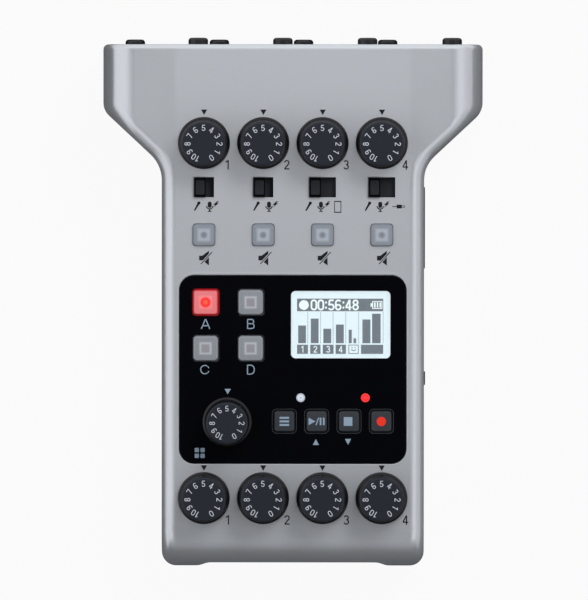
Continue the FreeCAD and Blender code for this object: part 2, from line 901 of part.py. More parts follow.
def build_tray():
    """Lower case: the dark bottom tray with its lip, screw bosses and battery box."""
    split = size("split_height")
    bosses = [
        rod(f"case_boss_{i}", "boss_radius", "split_height - foot_height - tray_floor / 2", x, y,
            "foot_height + tray_floor / 2")
        for i, (x, y) in enumerate(case_post_places())
    ]
    kept = shaped("tray_core", tray_form(size("tray_inset") + size("wall") / 2, size("foot_height"), split))
    bosses = common("case_bosses", fuse("case_boss_rods", *bosses), kept)
    stand_top = "main_board_top - board_thick"
    stands = [
        rod(f"board_stand_{i}", "board_post_radius + wall / 4",
            f"{stand_top} - foot_height - tray_floor / 2", x, y, "foot_height + tray_floor / 2")
        for i, (x, y) in enumerate(main_post_places())
    ]
    whole = fuse("tray_whole", tray_pan(), tray_lip(), bosses, *stands)
    boxed = fuse("tray_boxed", cut("tray_cleared", whole, battery_clearing()), battery_box(), door_ledge())
    tools = [block(
        "door_seat", f"{DOOR_LENGTH} + 2 * slide_gap", f"{DOOR_DEPTH} + 2 * slide_gap",
        "door_thick + foot_height", "0", "battery_row", "0")]
    for i, (x, y) in enumerate(case_post_places()):
        tools.append(rod(
            f"head_seat_{i}", "case_screw_head + slide_gap", "tray_floor + foot_height", x, y, "0"))
        tools.append(rod(
            f"case_screw_pass_{i}", "case_screw_radius + slide_gap", "case_top", x, y, "foot_height"))
    for i, (x, y) in enumerate(main_post_places()):
        tools.append(rod(
            f"stand_pilot_{i}", "board_screw_radius + running_gap", "board_screw_grip", x, y,
            f"{stand_top} - board_screw_grip"))
    for i, (x, y) in enumerate(foot_places()):
        tools.append(rod(
            f"foot_seat_{i}", "foot_radius + running_gap", "foot_height + foot_seat", x, y, "0"))
    for i, x in enumerate(mic_places()):
        tools.append(block(
            f"flange_pass_{i}", "mic_flange_width + 2 * slide_gap", "mic_flange_thick + 2 * slide_gap",
            "case_top", x, "back_reach - wall - mic_flange_thick / 2",
            "mic_height - mic_flange_height / 2 - slide_gap"))
    return node("lower_case", cut("lower_case", boxed, *tools))


def battery_clearing():
    """Room cut out of the floor and the boards' stands for the cells."""
    return block(
        "battery_clear", "battery_room", BOX_DEPTH, f"{BOX_TOP} - foot_height - door_thick",
        "0", "battery_row", "foot_height + door_thick")


def battery_box():
    """Walls and roof over the two cells."""
    outer = block(
        "battery_box_outer", "battery_room + 2 * battery_wall", f"{BOX_DEPTH} + 2 * battery_wall",
        f"{BOX_TOP} + battery_roof - foot_height - tray_floor / 2", "0", "battery_row",
        "foot_height + tray_floor / 2")
    inner = block(
        "battery_box_inner", "battery_room", BOX_DEPTH, f"{BOX_TOP} - foot_height", "0", "battery_row",
        "foot_height")
    return cut("battery_box", outer, inner)


def door_ledge():
    """Ledge round the battery opening that the cover closes against."""
    outer = block(
        "ledge_outer", "battery_room + battery_wall", f"{BOX_DEPTH} + battery_wall",
        "tray_floor - door_thick", "0", "battery_row", "foot_height + door_thick")
    inner = block(
        "ledge_inner", f"{DOOR_LENGTH} - 2 * door_ledge", f"{DOOR_DEPTH} - 2 * door_ledge", "tray_floor",
        "0", "battery_row", "foot_height")
    return cut("door_ledge", outer, inner)


def foot_places():
    """Centres of the four rubber feet."""
    wing_x = "(wing_width / 2 - wing_foot_inset)"
    front_x = "(body_width / 2 - front_foot_inset)"
    places = [(f"{side} * {wing_x}", "back_reach - wing_foot_row") for side in SIDES]
    return places + [(f"{side} * {front_x}", "back_reach - front_foot_row") for side in SIDES]


def build_feet():
    """Four round rubber feet, seated in shallow wells of the tray."""
    foot = turned("foot", [
        ("0", "0"), ("foot_radius - foot_round", "0"), ("foot_radius", "foot_round"),
        ("foot_radius", "foot_height + foot_seat"), ("0", "foot_height + foot_seat")])
    feet = [copy_at(f"foot_{i}", foot, x, y) for i, (x, y) in enumerate(foot_places())]
    return node("rubber_feet", group("rubber_feet", *feet))


def build_battery_door():
    """Battery cover that closes the box from below, with a finger grip at its free edge."""
    plate = block("door_plate", DOOR_LENGTH, DOOR_DEPTH, "door_thick", "0", "battery_row", "foot_height")
    grip = block(
        "door_grip", "door_grip_width", "door_grip_length", "door_grip_depth + foot_height",
        "0", f"battery_row - {DOOR_DEPTH} / 2 + door_grip_length", "0")
    return node("battery_cover", cut("battery_cover", plate, grip))


def build_batteries():
    """Two cylindrical cells side by side, turned opposite ways, and their contacts."""
    cells = []
    contacts = []
    for i, side in enumerate(SIDES):
        y = f"battery_row + {side} * cell_pitch / 2"
        tip = f"{side} * (battery_room / 2 - contact_thick)"
        shoulder = f"{side} * (battery_room / 2 - contact_thick - cell_nub_length)"
        tail = f"{side} * (battery_room / 2 - contact_thick - cell_nub_length - cell_length)"
        towards = "x" if side > 0 else "-x"
        back = "-x" if side > 0 else "x"
        nub = rod(
            f"cell_nub_{i}", "cell_nub_radius", "cell_nub_length", shoulder, y, "cell_height", towards)
        can = rod(f"cell_can_{i}", "cell_radius", "cell_length", tail, y, "cell_height", towards)
        cells.append(fuse(f"cell_{i}", can, nub))
        for end in SIDES:
            contacts.append(block(
                f"contact_{i}_{end + 1}", "contact_thick", "contact_size", "contact_size",
                f"{end} * (battery_room / 2 - contact_thick / 2)", y, "cell_height - contact_size / 2"))
        spring = add("Part::Cone", f"cell_spring_{i}")
        bind(spring, "Radius1", "spring_narrow")
        bind(spring, "Radius2", "spring_wide")
        bind(spring, "Height", "battery_room - 2 * contact_thick - cell_nub_length - cell_length")
        spring.Placement = FreeCAD.Placement(Vector(), TURNS[back])
        contacts.append(place(spring, tail, y, "cell_height"))
    node("batteries", group("batteries", *cells))
    node("battery_contacts", group("battery_contacts", *contacts))


def build_display_panel():
    """Glossy black panel with its window, button openings, shaft hole and light holes."""
    plate = rounded_plate(
        "panel_plate", "panel_width", "panel_depth", "panel_seat + panel_proud", "panel_corner", "0",
        "panel_proud")
    place(plate, "0", "-panel_row", "-panel_seat")
    tools = []
    opening = rounded_plate(
        "window_opening", "window_width + 2 * running_gap", "window_depth + 2 * running_gap", "wall * 2",
        "window_round + running_gap")
    tools.append(place(opening, "window_centre", "-window_row", "-wall"))
    through = rounded_plate(
        "pad_cutter", "pad_size + 2 * slide_gap", "pad_size + 2 * slide_gap", "wall * 2",
        "button_round + slide_gap", "-wall")
    tools += [place(group(f"{name}_cut", through), x, along) for name, x, along in pad_places()]
    through = rounded_plate(
        "transport_cutter", "transport_skirt + 2 * slide_gap", "transport_skirt + 2 * slide_gap",
        "wall * 2", "button_round + slide_gap", "-wall")
    tools += [place(group(f"{name}_cut", through), x, along) for name, x, along in transport_places()]
    tools.append(rod(
        "pad_knob_pass", "shaft_radius + hole_gap", "wall * 2", "-pad_knob_centre", "-pad_knob_row", "-wall"))
    for name, x, along in light_places():
        tools.append(rod(f"{name}_pass", "light_radius + seat_gap", "wall * 2", x, along, "-wall"))
    return node("display_panel", on_panel(cut("display_panel", plate, group("panel_cuts", *tools))))


def build_display():
    """Clear window and the display module behind it, standing on the control board."""
    window = rounded_plate(
        "window_plate", "window_width", "window_depth", "window_thick", "window_round",
        "panel_proud - window_thick")
    place(window, "window_centre", "-window_row", "panel_proud - window_thick")
    node("display_window", on_panel(group("display_window", window)))
    frame = block(
        "display_frame", "window_width + 2 * display_margin", "window_depth + 2 * display_margin",
        "board_drop - display_recess", "window_centre", "-window_row", "-board_drop")
    glass_top = "(panel_proud - window_thick - seat_gap)"
    glass = block(
        "display_glass", "window_width - window_round", "window_depth - window_round",
        f"{glass_top} + display_recess", "window_centre", "-window_row", "-display_recess")
    return node("lcd_module", on_panel(fuse("lcd_module", frame, glass)))


def build_lights():
    """Two light pipes with their lamps on the board below."""
    for name, x, along in light_places():
        pipe = rod(
            f"{name}_pipe", "light_radius", "board_drop - light_chip + panel_proud", x, along,
            "-board_drop + light_chip")
        collar = rod(
            f"{name}_collar", "light_radius + light_collar", "light_chip", x, along, "-wall - light_chip")
        chip = block(
            f"{name}_chip", "2 * light_radius", "2 * light_radius", "light_chip", x, along, "-board_drop")
        node(name, on_panel(group(name, fuse(f"{name}_lens", pipe, collar), chip)))


def build_knobs():
    """Nine knobs, each a cap with a wider skirt on its own shaft."""
    def cap(name, width, narrow):
        points = [
            ("shaft_radius", "knob_lift"),
            (f"{width} / 2", "knob_lift"),
            (f"{width} / 2", "knob_lift + knob_skirt - knob_lift / 2"),
            (f"{narrow} / 2 + knob_lift / 2", "knob_lift + knob_skirt"),
            (f"{narrow} / 2 - knob_edge / 2", "knob_height - knob_edge"),
            (f"{narrow} / 2 - knob_edge * 1.5", "knob_height"),
            ("0", "knob_height"),
            ("0", "shaft_socket"),
            ("shaft_radius", "shaft_socket"),
        ]
        return turned(name, points)

    plain = cap("knob_cap", "knob_width", "knob_cap_width")
    pad = cap("pad_knob_cap", "pad_knob_width", "pad_knob_cap_width")
    shaft = rod("knob_shaft", "shaft_radius", "shaft_socket + shaft_reach", z="-shaft_reach")
    for name, x, along in knob_places():
        chosen = pad if name == "pad_knob" else plain
        node(name, on_panel(group(name, chosen, shaft), x, along))


def build_potentiometers():
    """Nine potentiometers on the control board, each bored for its shaft."""
    bodies = []
    for name, x, along in knob_places():
        body = block(f"{name}_pot", "pot_size", "pot_size", "pot_height", x, along, "-board_drop")
        bore = rod(
            f"{name}_bore", "shaft_radius + running_gap", "pot_bore_depth", x, along,
            "-board_drop + pot_height - pot_bore_depth")
        bodies.append(cut(f"{name}_pot_body", body, bore))
    return node("potentiometers", on_panel(group("potentiometers", *bodies)))


def build_switches():
    """Four slide switches: the cap with its cover plate and stem, and the body below."""
    bodies = []
    for i, (channel, travel) in enumerate(zip(CHANNELS, SWITCH_TRAVELS)):
        name = f"input_switch_{i + 1}"
        rest = f"{channel_x(channel)} - {travel} / 2"
        top_of_plate = "-wall - seat_gap"
        cap = block(
            f"{name}_cap", "switch_cap_width", "switch_cap_depth", "switch_cap_height + wall + seat_gap",
            rest, "-input_switch_row", top_of_plate)
        opening = SWITCH_OPENING.format(travel=travel)
        plate = block(
            f"{name}_plate", f"{opening} + {travel} + 2 * switch_plate_overlap",
            "switch_cap_depth + 2 * switch_plate_margin", "switch_plate_thick",
            rest, "-input_switch_row", f"{top_of_plate} - switch_plate_thick")
        stem = block(
            f"{name}_stem", "switch_stem", "switch_stem",
            "switch_stem_reach - wall - seat_gap - switch_plate_thick",
            rest, "-input_switch_row", "-switch_stem_reach")
        node(name, on_panel(fuse(name, cap, plate, stem)))
        slot = f"{travel} + switch_stem + 2 * hole_gap"
        body = block(
            f"{name}_housing", f"{slot} + 2 * switch_body_wall",
            "switch_stem + 2 * hole_gap + 2 * switch_body_wall", "switch_body_height",
            channel_x(channel), "-input_switch_row", "-board_drop")
        groove = block(
            f"{name}_groove", slot, "switch_stem + 2 * hole_gap", "switch_slot_depth + seat_gap",
            channel_x(channel), "-input_switch_row", "-board_drop + switch_body_height - switch_slot_depth")
        bodies.append(cut(f"{name}_body", body, groove))
    return node("slide_switch_bodies", on_panel(group("slide_switch_bodies", *bodies)))


def build_buttons():
    """Twelve push buttons with their flanges and stems, and the key switches below."""
    def button(name, sides, top):
        cap = rounded_plate(
            f"{name}_cap", sides, sides, f"wall + {top}", "button_round", "-wall", "button_edge")
        return [cap, *flange(name, sides)]

    def flange(name, sides):
        plate = block(
            f"{name}_flange", f"{sides} + 2 * flange_margin", f"{sides} + 2 * flange_margin",
            "flange_thick", z="-wall - flange_thick")
        stem = rod(f"{name}_stem", "stem_radius", "stem_reach - wall - flange_thick", z="-stem_reach")
        return [plate, stem]

    mute = fuse("mute_form", *button("mute", "mute_size", "button_height"))
    pad = fuse("pad_form", *button("pad", "pad_size", "panel_proud + button_height"))
    skirt = rounded_plate(
        "transport_skirt_plate", "transport_skirt", "transport_skirt",
        "wall + panel_proud - transport_step", "button_round", "-wall")
    cap = rounded_plate(
        "transport_cap_plate", "transport_cap", "transport_cap", "transport_step + button_height",
        "button_round", "panel_proud - transport_step", "button_edge")
    transport = fuse("transport_form", skirt, cap, *flange("transport", "transport_skirt"))
    for form, places in ((mute, mute_places()), (pad, pad_places()), (transport, transport_places())):
        for name, x, along in places:
            node(name, copy_on_panel(name, form, x, along))
    keys = []
    for name, x, along in [*mute_places(), *pad_places(), *transport_places()]:
        body = block(f"{name}_key", "key_size", "key_size", "key_height", x, along, "-board_drop")
        well = rod(
            f"{name}_well", "stem_radius + hole_gap", "key_well_depth", x, along,
            "-board_drop + key_height - key_well_depth")
        keys.append(cut(f"{name}_key_body", body, well))
    return node("key_switches", on_panel(group("key_switches", *keys)))


def build_boards():
    """Control board under the panel, main board above the tray, their plug and their screws."""
    board = on_panel(group("control_placed", block(
        "control_sheet", BOARD_WIDTH, "control_board_front - control_board_back", "board_thick",
        "0", "-(control_board_front + control_board_back) / 2", "-board_drop - board_thick")))
    notches = [
        rod(f"board_notch_{i}", "post_radius + hole_gap * 2", "case_top", x, y, "0")
        for i, (x, y) in enumerate(case_post_places()[2:])
    ]
    screw_holes = on_panel(group("control_screw_holes", *[
        rod(f"control_hole_{i}", "board_screw_radius + slide_gap", "board_drop", x, y, "-board_drop * 1.5")
        for i, (x, y) in enumerate(control_post_places())]))
    node("control_board", cut("control_board", board, group("board_notches", *notches), screw_holes))
    main = block(
        "main_sheet", BOARD_WIDTH, f"{MAIN_BOARD_BACK} + {MAIN_BOARD_FRONT}", "board_thick",
        "0", f"({MAIN_BOARD_BACK} - {MAIN_BOARD_FRONT}) / 2", "main_board_top - board_thick")
    holes = [
        rod(f"main_hole_{i}", "board_screw_radius + slide_gap", "board_drop", x, y,
            "main_board_top - board_drop / 2")
        for i, (x, y) in enumerate(main_post_places())
    ]
    node("main_board", cut("main_board", main, *notches, *holes))
    head = "board_screw_head"
    screw = turned("board_screw", [
        ("0", "-board_screw_grip + board_screw_head_height"),
        ("board_screw_radius", "-board_screw_grip + board_screw_head_height"),
        ("board_screw_radius", "0"), (head, "0"), (head, "board_screw_head_height * 0.6"),
        (f"{head} * 0.6", "board_screw_head_height"), ("0", "board_screw_head_height")])
    screws = [
        copy_at(f"main_screw_{i}", screw, x, y, "main_board_top")
        for i, (x, y) in enumerate(main_post_places())
    ]
    over = FreeCAD.Rotation(Vector(1, 0, 0), 180)
    under = [
        copy_at(f"control_screw_{i}", screw, x, y, "-board_drop - board_thick", over)
        for i, (x, y) in enumerate(control_post_places())
    ]
    node("board_screws", group("board_screws", *screws, on_panel(group("control_screws", *under))))
    under_board = (
        "case_top - (back_reach - connector_row) * tan(panel_slope)"
        " - (board_drop + board_thick) / cos(panel_slope)")
    lower = block(
        "connector_lower", "connector_length", "connector_width",
        f"{under_board} - connector_plug - connector_gap - main_board_top",
        "0", "connector_row", "main_board_top")
    upper = on_panel(group("connector_upper_placed", block(
        "connector_upper", "connector_length", "connector_width", "connector_plug", "0",
        "-(back_reach - connector_row) / cos(panel_slope)", "-board_drop - board_thick - connector_plug")))
    return node("board_connector", group("board_connector", lower, upper))


def build_mic_sockets():
    """Four microphone sockets: shell and flange, the insert with three holes, and its contacts."""
    depth = "mic_length"
    face = "back_reach"
    shell = cut(
        "mic_shell_form",
        rod("mic_shell_rod", "mic_radius", f"{depth} - running_gap * 2", "0", MIC_REAR, "0", "y"),
        rod("mic_shell_bore", "mic_radius - mic_shell", f"{depth} - mic_base + wall", "0",
            f"{MIC_REAR} + mic_base", "0", "y"),
        rod("mic_seat", "mic_insert_radius", "mic_base * 2", "0", f"{MIC_REAR} - mic_base / 2", "0", "y"))
    flange = block(
        "mic_flange_plate", "mic_flange_width", "mic_flange_thick", "mic_flange_height",
        "0", f"{face} - wall - mic_flange_thick / 2", "-mic_flange_height / 2")
    bore = rod(
        "mic_flange_bore", "mic_radius - mic_shell / 2", "wall * 3", "0", f"{face} - wall * 3", "0", "y")
    threads = [
        rod(f"mic_thread_{i}", "mic_screw_radius + running_gap", "wall * 3",
            f"{side} * mic_screw_across / 2", f"{face} - wall * 4", f"{side} * mic_screw_up / 2", "y")
        for i, side in enumerate(SIDES)
    ]
    form = fuse("mic_form", shell, cut("mic_flange", flange, bore))
    socket = cut("mic_socket", form, *threads)
    holes = [
        rod(f"mic_pin_mouth_{i}", "pin_hole_radius", "pin_mouth + wall", x, f"{face} - pin_mouth", z, "y")
        for i, (x, z) in enumerate(pin_places())
    ]
    holes += [
        rod(f"mic_pin_seat_{i}", "pin_radius + running_gap", f"{depth} + wall", x,
            f"{MIC_REAR} - wall / 2", z, "y")
        for i, (x, z) in enumerate(pin_places())
    ]
    insert = cut(
        "mic_insert",
        rod("mic_insert_rod", "mic_insert_radius", f"{depth} - mic_insert_recess", "0", MIC_REAR, "0", "y"),
        *holes)
    inserts = []
    for i, x in enumerate(mic_places()):
        name = f"xlr_jack_{i + 1}"
        node(name, copy_at(name, socket, x, "0", "mic_height"))
        inserts.append(copy_at(f"mic_insert_{i}", insert, x, "0", "mic_height"))
    node("xlr_inserts", group("xlr_inserts", *inserts))
    contacts = []
    for i, x in enumerate(mic_places()):
        for j, (pin_x, pin_z) in enumerate(pin_places()):
            at_x = f"({x}) + ({pin_x})"
            at_z = f"mic_height + ({pin_z})"
            tail_y = f"({MIC_REAR} - pin_tail)"
            pin = rod(
                f"pin_{i}_{j}", "pin_radius", f"back_reach - pin_mouth - hole_gap - {tail_y}", at_x, tail_y,
                at_z, "y")
            above = evaluate(at_z) > evaluate("main_board_top")
            low = "main_board_top" if above else at_z
            tall = f"{at_z} - main_board_top" if above else f"main_board_top - board_thick - ({at_z})"
            leg = block(f"leg_{i}_{j}", "pin_leg", "pin_leg", tall, at_x, f"{tail_y} + pin_leg / 2", low)
            contacts.append(fuse(f"contact_pin_{i}_{j}", pin, leg))
    return node("xlr_contacts", group("xlr_contacts", *contacts))


def pin_places():
    """The three contacts of a microphone socket, round its middle."""
    return [
        (f"pin_circle * cos({angle})", f"pin_circle * sin({angle})") for angle in (30, 150, -90)
    ]


def build_mic_screws():
    """Eight domed screws that hold the sockets, their heads on the back face."""
    body = turned("mic_screw_form", [
        ("0", "-mic_screw_length"), ("mic_screw_radius", "-mic_screw_length"), ("mic_screw_radius", "0"),
        ("mic_screw_head", "0"), ("mic_screw_head", "mic_screw_head_height"),
        ("0", "mic_screw_head_height")])
    top = evaluate("mic_screw_head_height")
    round_edges(body, body.Tip, at_height(top), "mic_screw_round", "screw_dome")
    arms = [
        block(f"screw_cross_{i}", long, wide, "cross_depth * 2", z="mic_screw_head_height - cross_depth")
        for i, (long, wide) in enumerate((("cross_length", "cross_width"), ("cross_width", "cross_length")))
    ]
    screw = cut("mic_screw", body, *arms)
    screws = [
        copy_at(f"mic_screw_{i}", screw, x, "back_reach", z, TURNS["y"])
        for i, (x, z) in enumerate(mic_screw_places())
    ]
    return node("xlr_screws", group("xlr_screws", *screws))


def build_case_screws():
    """Eight screws driven from below through the tray into the upper case."""
    head = "case_screw_head"
    tall = "case_screw_head_height"
    reach = "split_height + post_hole_depth * 0.9 - foot_height - tray_floor"
    screw = turned("case_screw_form", [
        ("0", f"-{tall}"), (head, f"-{tall}"), (head, "0"),
        ("case_screw_radius", "0"), ("case_screw_radius", reach), ("0", reach)])
    arms = [
        block(f"case_cross_{i}", long, wide, "cross_depth", z=f"-{tall}")
        for i, (long, wide) in enumerate((("cross_length", "cross_width"), ("cross_width", "cross_length")))
    ]
    screw = cut("case_screw", screw, *arms)
    screws = [
        copy_at(f"case_screw_{i}", screw, x, y, "foot_height + tray_floor")
        for i, (x, y) in enumerate(case_post_places())
    ]
    return node("case_screws", group("case_screws", *screws))


def build_small_jacks():
    """Four phones jacks in the front and the phone link jack in the left side."""
    body = block(
        "jack_body", "jack_width", "jack_length", "2 * (main_board_top - board_thick - jack_height)",
        "0", "jack_nose_length + jack_length / 2", "-(main_board_top - board_thick - jack_height)")
    nose = rod("jack_nose_rod", "jack_nose", "jack_nose_length + running_gap", "0", "0", "0", "y")
    bore = rod("jack_bore_rod", "jack_bore", "jack_bore_depth", "0", "0", "0", "y")
    jack = cut("small_jack", fuse("jack_form", body, nose), bore)
    jacks = [
        copy_at(f"phones_jack_{i + 1}", jack, channel_x(c), f"-{JACK_FACE} + running_gap", "jack_height")
        for i, c in enumerate(CHANNELS)
    ]
    node("phones_jacks", group("phones_jacks", *jacks))
    quarter = FreeCAD.Rotation(Vector(0, 0, 1), -90)
    long_nose = rod("link_nose_rod", "jack_nose", "wall + slide_gap", "0", "0", "0", "y")
    link_body = block(
        "link_body", "jack_width", "jack_length", "2 * (main_board_top - board_thick - jack_height)",
        "0", "wall + running_gap + jack_length / 2", "-(main_board_top - board_thick - jack_height)")
    link_bore = rod("link_bore_rod", "jack_bore", "jack_bore_depth", "0", "0", "0", "y")
    link = cut("link_jack", fuse("link_form", link_body, long_nose), link_bore)
    placed = copy_at(
        "phone_link_jack", link, "-body_width / 2 + running_gap", "link_jack_row", "jack_height", quarter)
    return node("phone_link_jack", placed)


def build_ports():
    """Two flat charging and data ports under the main board's side edges."""
    length = "port_length"
    shell = cut(
        "port_shell",
        block("port_outer", length, "port_width", "port_height", f"{length} / 2"),
        block("port_inner", f"{length} - 2 * port_metal", "port_width - 2 * port_metal",
              "port_height - 2 * port_metal", f"({length} - 2 * port_metal) / 2", "0", "port_metal"))
    tongue = block(
        "port_tongue", "port_tongue_length + port_metal", "port_tongue_width", "port_tongue_thick",
        f"{length} - 2 * port_metal - port_tongue_length / 2 + port_metal / 2", "0",
        "(port_height - port_tongue_thick) / 2")
    port = fuse("port_form", shell, tongue)
    low = "main_board_top - board_thick - port_height"
    left = copy_at("data_port", port, "-body_width / 2 + port_set_back", "data_port_row", low)
    right = copy_at(
        "power_port", port, "body_width / 2 - port_set_back", "power_port_row", low,
        FreeCAD.Rotation(Vector(0, 0, 1), 180))
    return node("usb_ports", group("usb_ports", left, right))


def build_card():
    """Memory card and its socket on the main board, open to the right side."""
    mouth = f"{BOARD_WIDTH} / 2"
    end = "body_width / 2 + card_proud"
    bottom = "main_board_top + card_lift"
    rear = f"({end} - card_length - card_play)"
    housing = block(
        "socket_outer", f"{mouth} - {rear} + socket_wall", "card_width + 2 * socket_wall",
        "card_lift + card_thick + socket_roof + card_play",
        f"({mouth} + {rear} - socket_wall) / 2", "card_row", "main_board_top")
    room = block(
        "socket_inner", f"{mouth} - {rear} + wall", "card_width + 2 * card_play",
        "card_thick + 2 * card_play", f"({mouth} + {rear} + wall) / 2", "card_row",
        f"{bottom} - card_play")
    node("card_socket", cut("card_socket", housing, room))
    card = block(
        "card_plate", "card_length", "card_width", "card_thick", f"{end} - card_length / 2", "card_row",
        bottom)
    nick = add("Part::Box", "card_nick")
    for side in ("Length", "Width"):
        bind(nick, side, "card_corner")
    bind(nick, "Height", "card_thick * 3")
    nick.Placement = FreeCAD.Placement(Vector(), FreeCAD.Rotation(Vector(0, 0, 1), 45))
    place(
        nick, f"{end} - card_length", "card_row + card_width / 2 - card_corner / sqrt(2)",
        "main_board_top")
    return node("memory_card", cut("memory_card", card, nick))


def build_power_switch():
    """Power slide switch under the main board's right edge and the slider that drives it."""
    middle = "main_board_top - board_thick - power_body_height / 2"
    stem = "power_stem_length"
    start = f"{BOARD_WIDTH} / 2"
    body = block(
        "power_housing", "power_body_depth", "power_body_length", "power_body_height",
        f"{start} - power_body_depth / 2", "power_row", f"{middle} - power_body_height / 2")
    slot = block(
        "power_groove", "2 * (power_stem_reach + hole_gap)", f"{stem} + power_travel + 2 * hole_gap",
        "power_stem_height + 2 * hole_gap", start, "power_row",
        f"{middle} - power_stem_height / 2 - hole_gap")
    node("power_switch_body", cut("power_switch_body", body, slot))
    rest = "power_row + power_travel / 2"
    nub_start = f"({start} + seat_gap)"
    outside = "(body_width / 2 + power_nub_proud)"
    nub = block(
        "power_nub", f"{outside} - {nub_start}", "power_nub_length", "power_nub_height",
        f"({outside} + {nub_start}) / 2", rest, f"{middle} - power_nub_height / 2")
    arm = block(
        "power_stem_bar", "power_stem_reach + seat_gap * 2", stem, "power_stem_height",
        f"{start} - power_stem_reach / 2 + seat_gap", rest, f"{middle} - power_stem_height / 2")
    return node("power_slider", fuse("power_slider", nub, arm))


def check_document():
    """Stop if any object failed or any sub-part is empty, unsound or off its file name."""
    doc.recompute()
    broken = [item.Name for item in doc.Objects if {"Invalid", "Error"} & set(item.State)]
    if broken:
        raise RuntimeError(f"objects failed: {broken}")
    for item in nodes:
        if item.Shape.isNull() or not item.Shape.isValid() or not item.Shape.Solids:
            raise RuntimeError(f"{item.Label} has no sound solid")


def write_files():
    """One STEP file for each sub-part."""
    os.makedirs("parts", exist_ok=True)
    for item in nodes:
        item.Shape.exportStep(os.path.join("parts", f"{item.Label}.step"))


def main():
    """Build every piece, check the document and write the files."""
    build_case()
    build_tray()
    build_feet()
    build_battery_door()
    build_batteries()
    build_display_panel()
    build_display()
    build_lights()
    build_knobs()
    build_potentiometers()
    build_switches()
    build_buttons()
    build_boards()
    build_mic_sockets()
    build_mic_screws()
    build_case_screws()
    build_small_jacks()
    build_ports()
    build_card()
    build_power_switch()
    check_document()
    write_files()


main()
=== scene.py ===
"""Studio scene of a podcast recorder: finer controls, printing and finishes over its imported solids.

Sizes are in millimetres. The sloping top has its own frame, whose origin is the middle of the top
back edge: x to the right, along the slope (negative towards the front), and up out of the top.
"""
import json
import logging
import math
from dataclasses import dataclass
from enum import Enum
from typing import Callable, Sequence

import bmesh
import bpy
from mathutils import Matrix, Vector

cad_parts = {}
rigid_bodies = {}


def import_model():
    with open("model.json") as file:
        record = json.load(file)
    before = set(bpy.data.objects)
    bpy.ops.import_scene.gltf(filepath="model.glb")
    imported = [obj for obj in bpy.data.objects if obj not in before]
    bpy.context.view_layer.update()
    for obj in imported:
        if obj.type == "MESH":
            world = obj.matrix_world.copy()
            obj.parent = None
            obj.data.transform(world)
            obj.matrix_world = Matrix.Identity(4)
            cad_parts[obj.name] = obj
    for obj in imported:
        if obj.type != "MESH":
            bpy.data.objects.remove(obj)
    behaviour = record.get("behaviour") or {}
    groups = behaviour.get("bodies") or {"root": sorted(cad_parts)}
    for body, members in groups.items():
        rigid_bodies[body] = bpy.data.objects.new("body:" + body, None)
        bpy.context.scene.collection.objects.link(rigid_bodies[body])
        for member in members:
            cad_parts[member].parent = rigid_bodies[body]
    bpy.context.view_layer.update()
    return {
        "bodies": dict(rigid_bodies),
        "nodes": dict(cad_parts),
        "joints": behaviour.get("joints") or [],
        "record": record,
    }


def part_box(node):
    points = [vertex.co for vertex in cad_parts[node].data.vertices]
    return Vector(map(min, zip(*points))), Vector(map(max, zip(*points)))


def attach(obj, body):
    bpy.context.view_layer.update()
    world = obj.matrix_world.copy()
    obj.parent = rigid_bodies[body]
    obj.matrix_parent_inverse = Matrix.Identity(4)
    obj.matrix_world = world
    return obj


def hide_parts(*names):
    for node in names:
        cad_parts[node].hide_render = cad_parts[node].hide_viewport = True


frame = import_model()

log = logging.getLogger("podcast_recorder")

Colour = tuple[float, float, float]
Point = tuple[float, float]
Place = tuple[float, float, float]
MM = 0.001
CASE = "case"
CHANNEL_PITCH = 17.5
CHANNELS = tuple(CHANNEL_PITCH * step for step in (-1.5, -0.5, 0.5, 1.5))
PANEL_PROUD = 0.2
INK_THICK = 0.02
SAME_HEIGHT = 1e-6


# --- Places on the object -----------------------------------------------------------------------


@dataclass(frozen=True)
class SlopingTop:
    """The frame of the sloping top."""

    back_reach: float = 76.0
    case_top: float = 38.3
    slope: float = 2.6

    def place(self, x: float, along: float, up: float = 0.0, turn: float = 0.0) -> Matrix:
        """Matrix that puts a mesh in millimetres on the top.

        Args:
            x: Place across the top.
            along: Place along the slope, negative towards the front.
            up: Height over the top.
            turn: Anticlockwise turn seen from above, in degrees.

        Returns:
            The matrix into the row frame, in metres.
        """
        return (
            Matrix.Scale(MM, 4)
            @ Matrix.Translation((0.0, self.back_reach, self.case_top))
            @ Matrix.Rotation(math.radians(self.slope), 4, "X")
            @ Matrix.Translation((x, along, up))
            @ Matrix.Rotation(math.radians(turn), 4, "Z")
        )


TOP = SlopingTop()


# --- Shader groups shared by the finishes -------------------------------------------------------


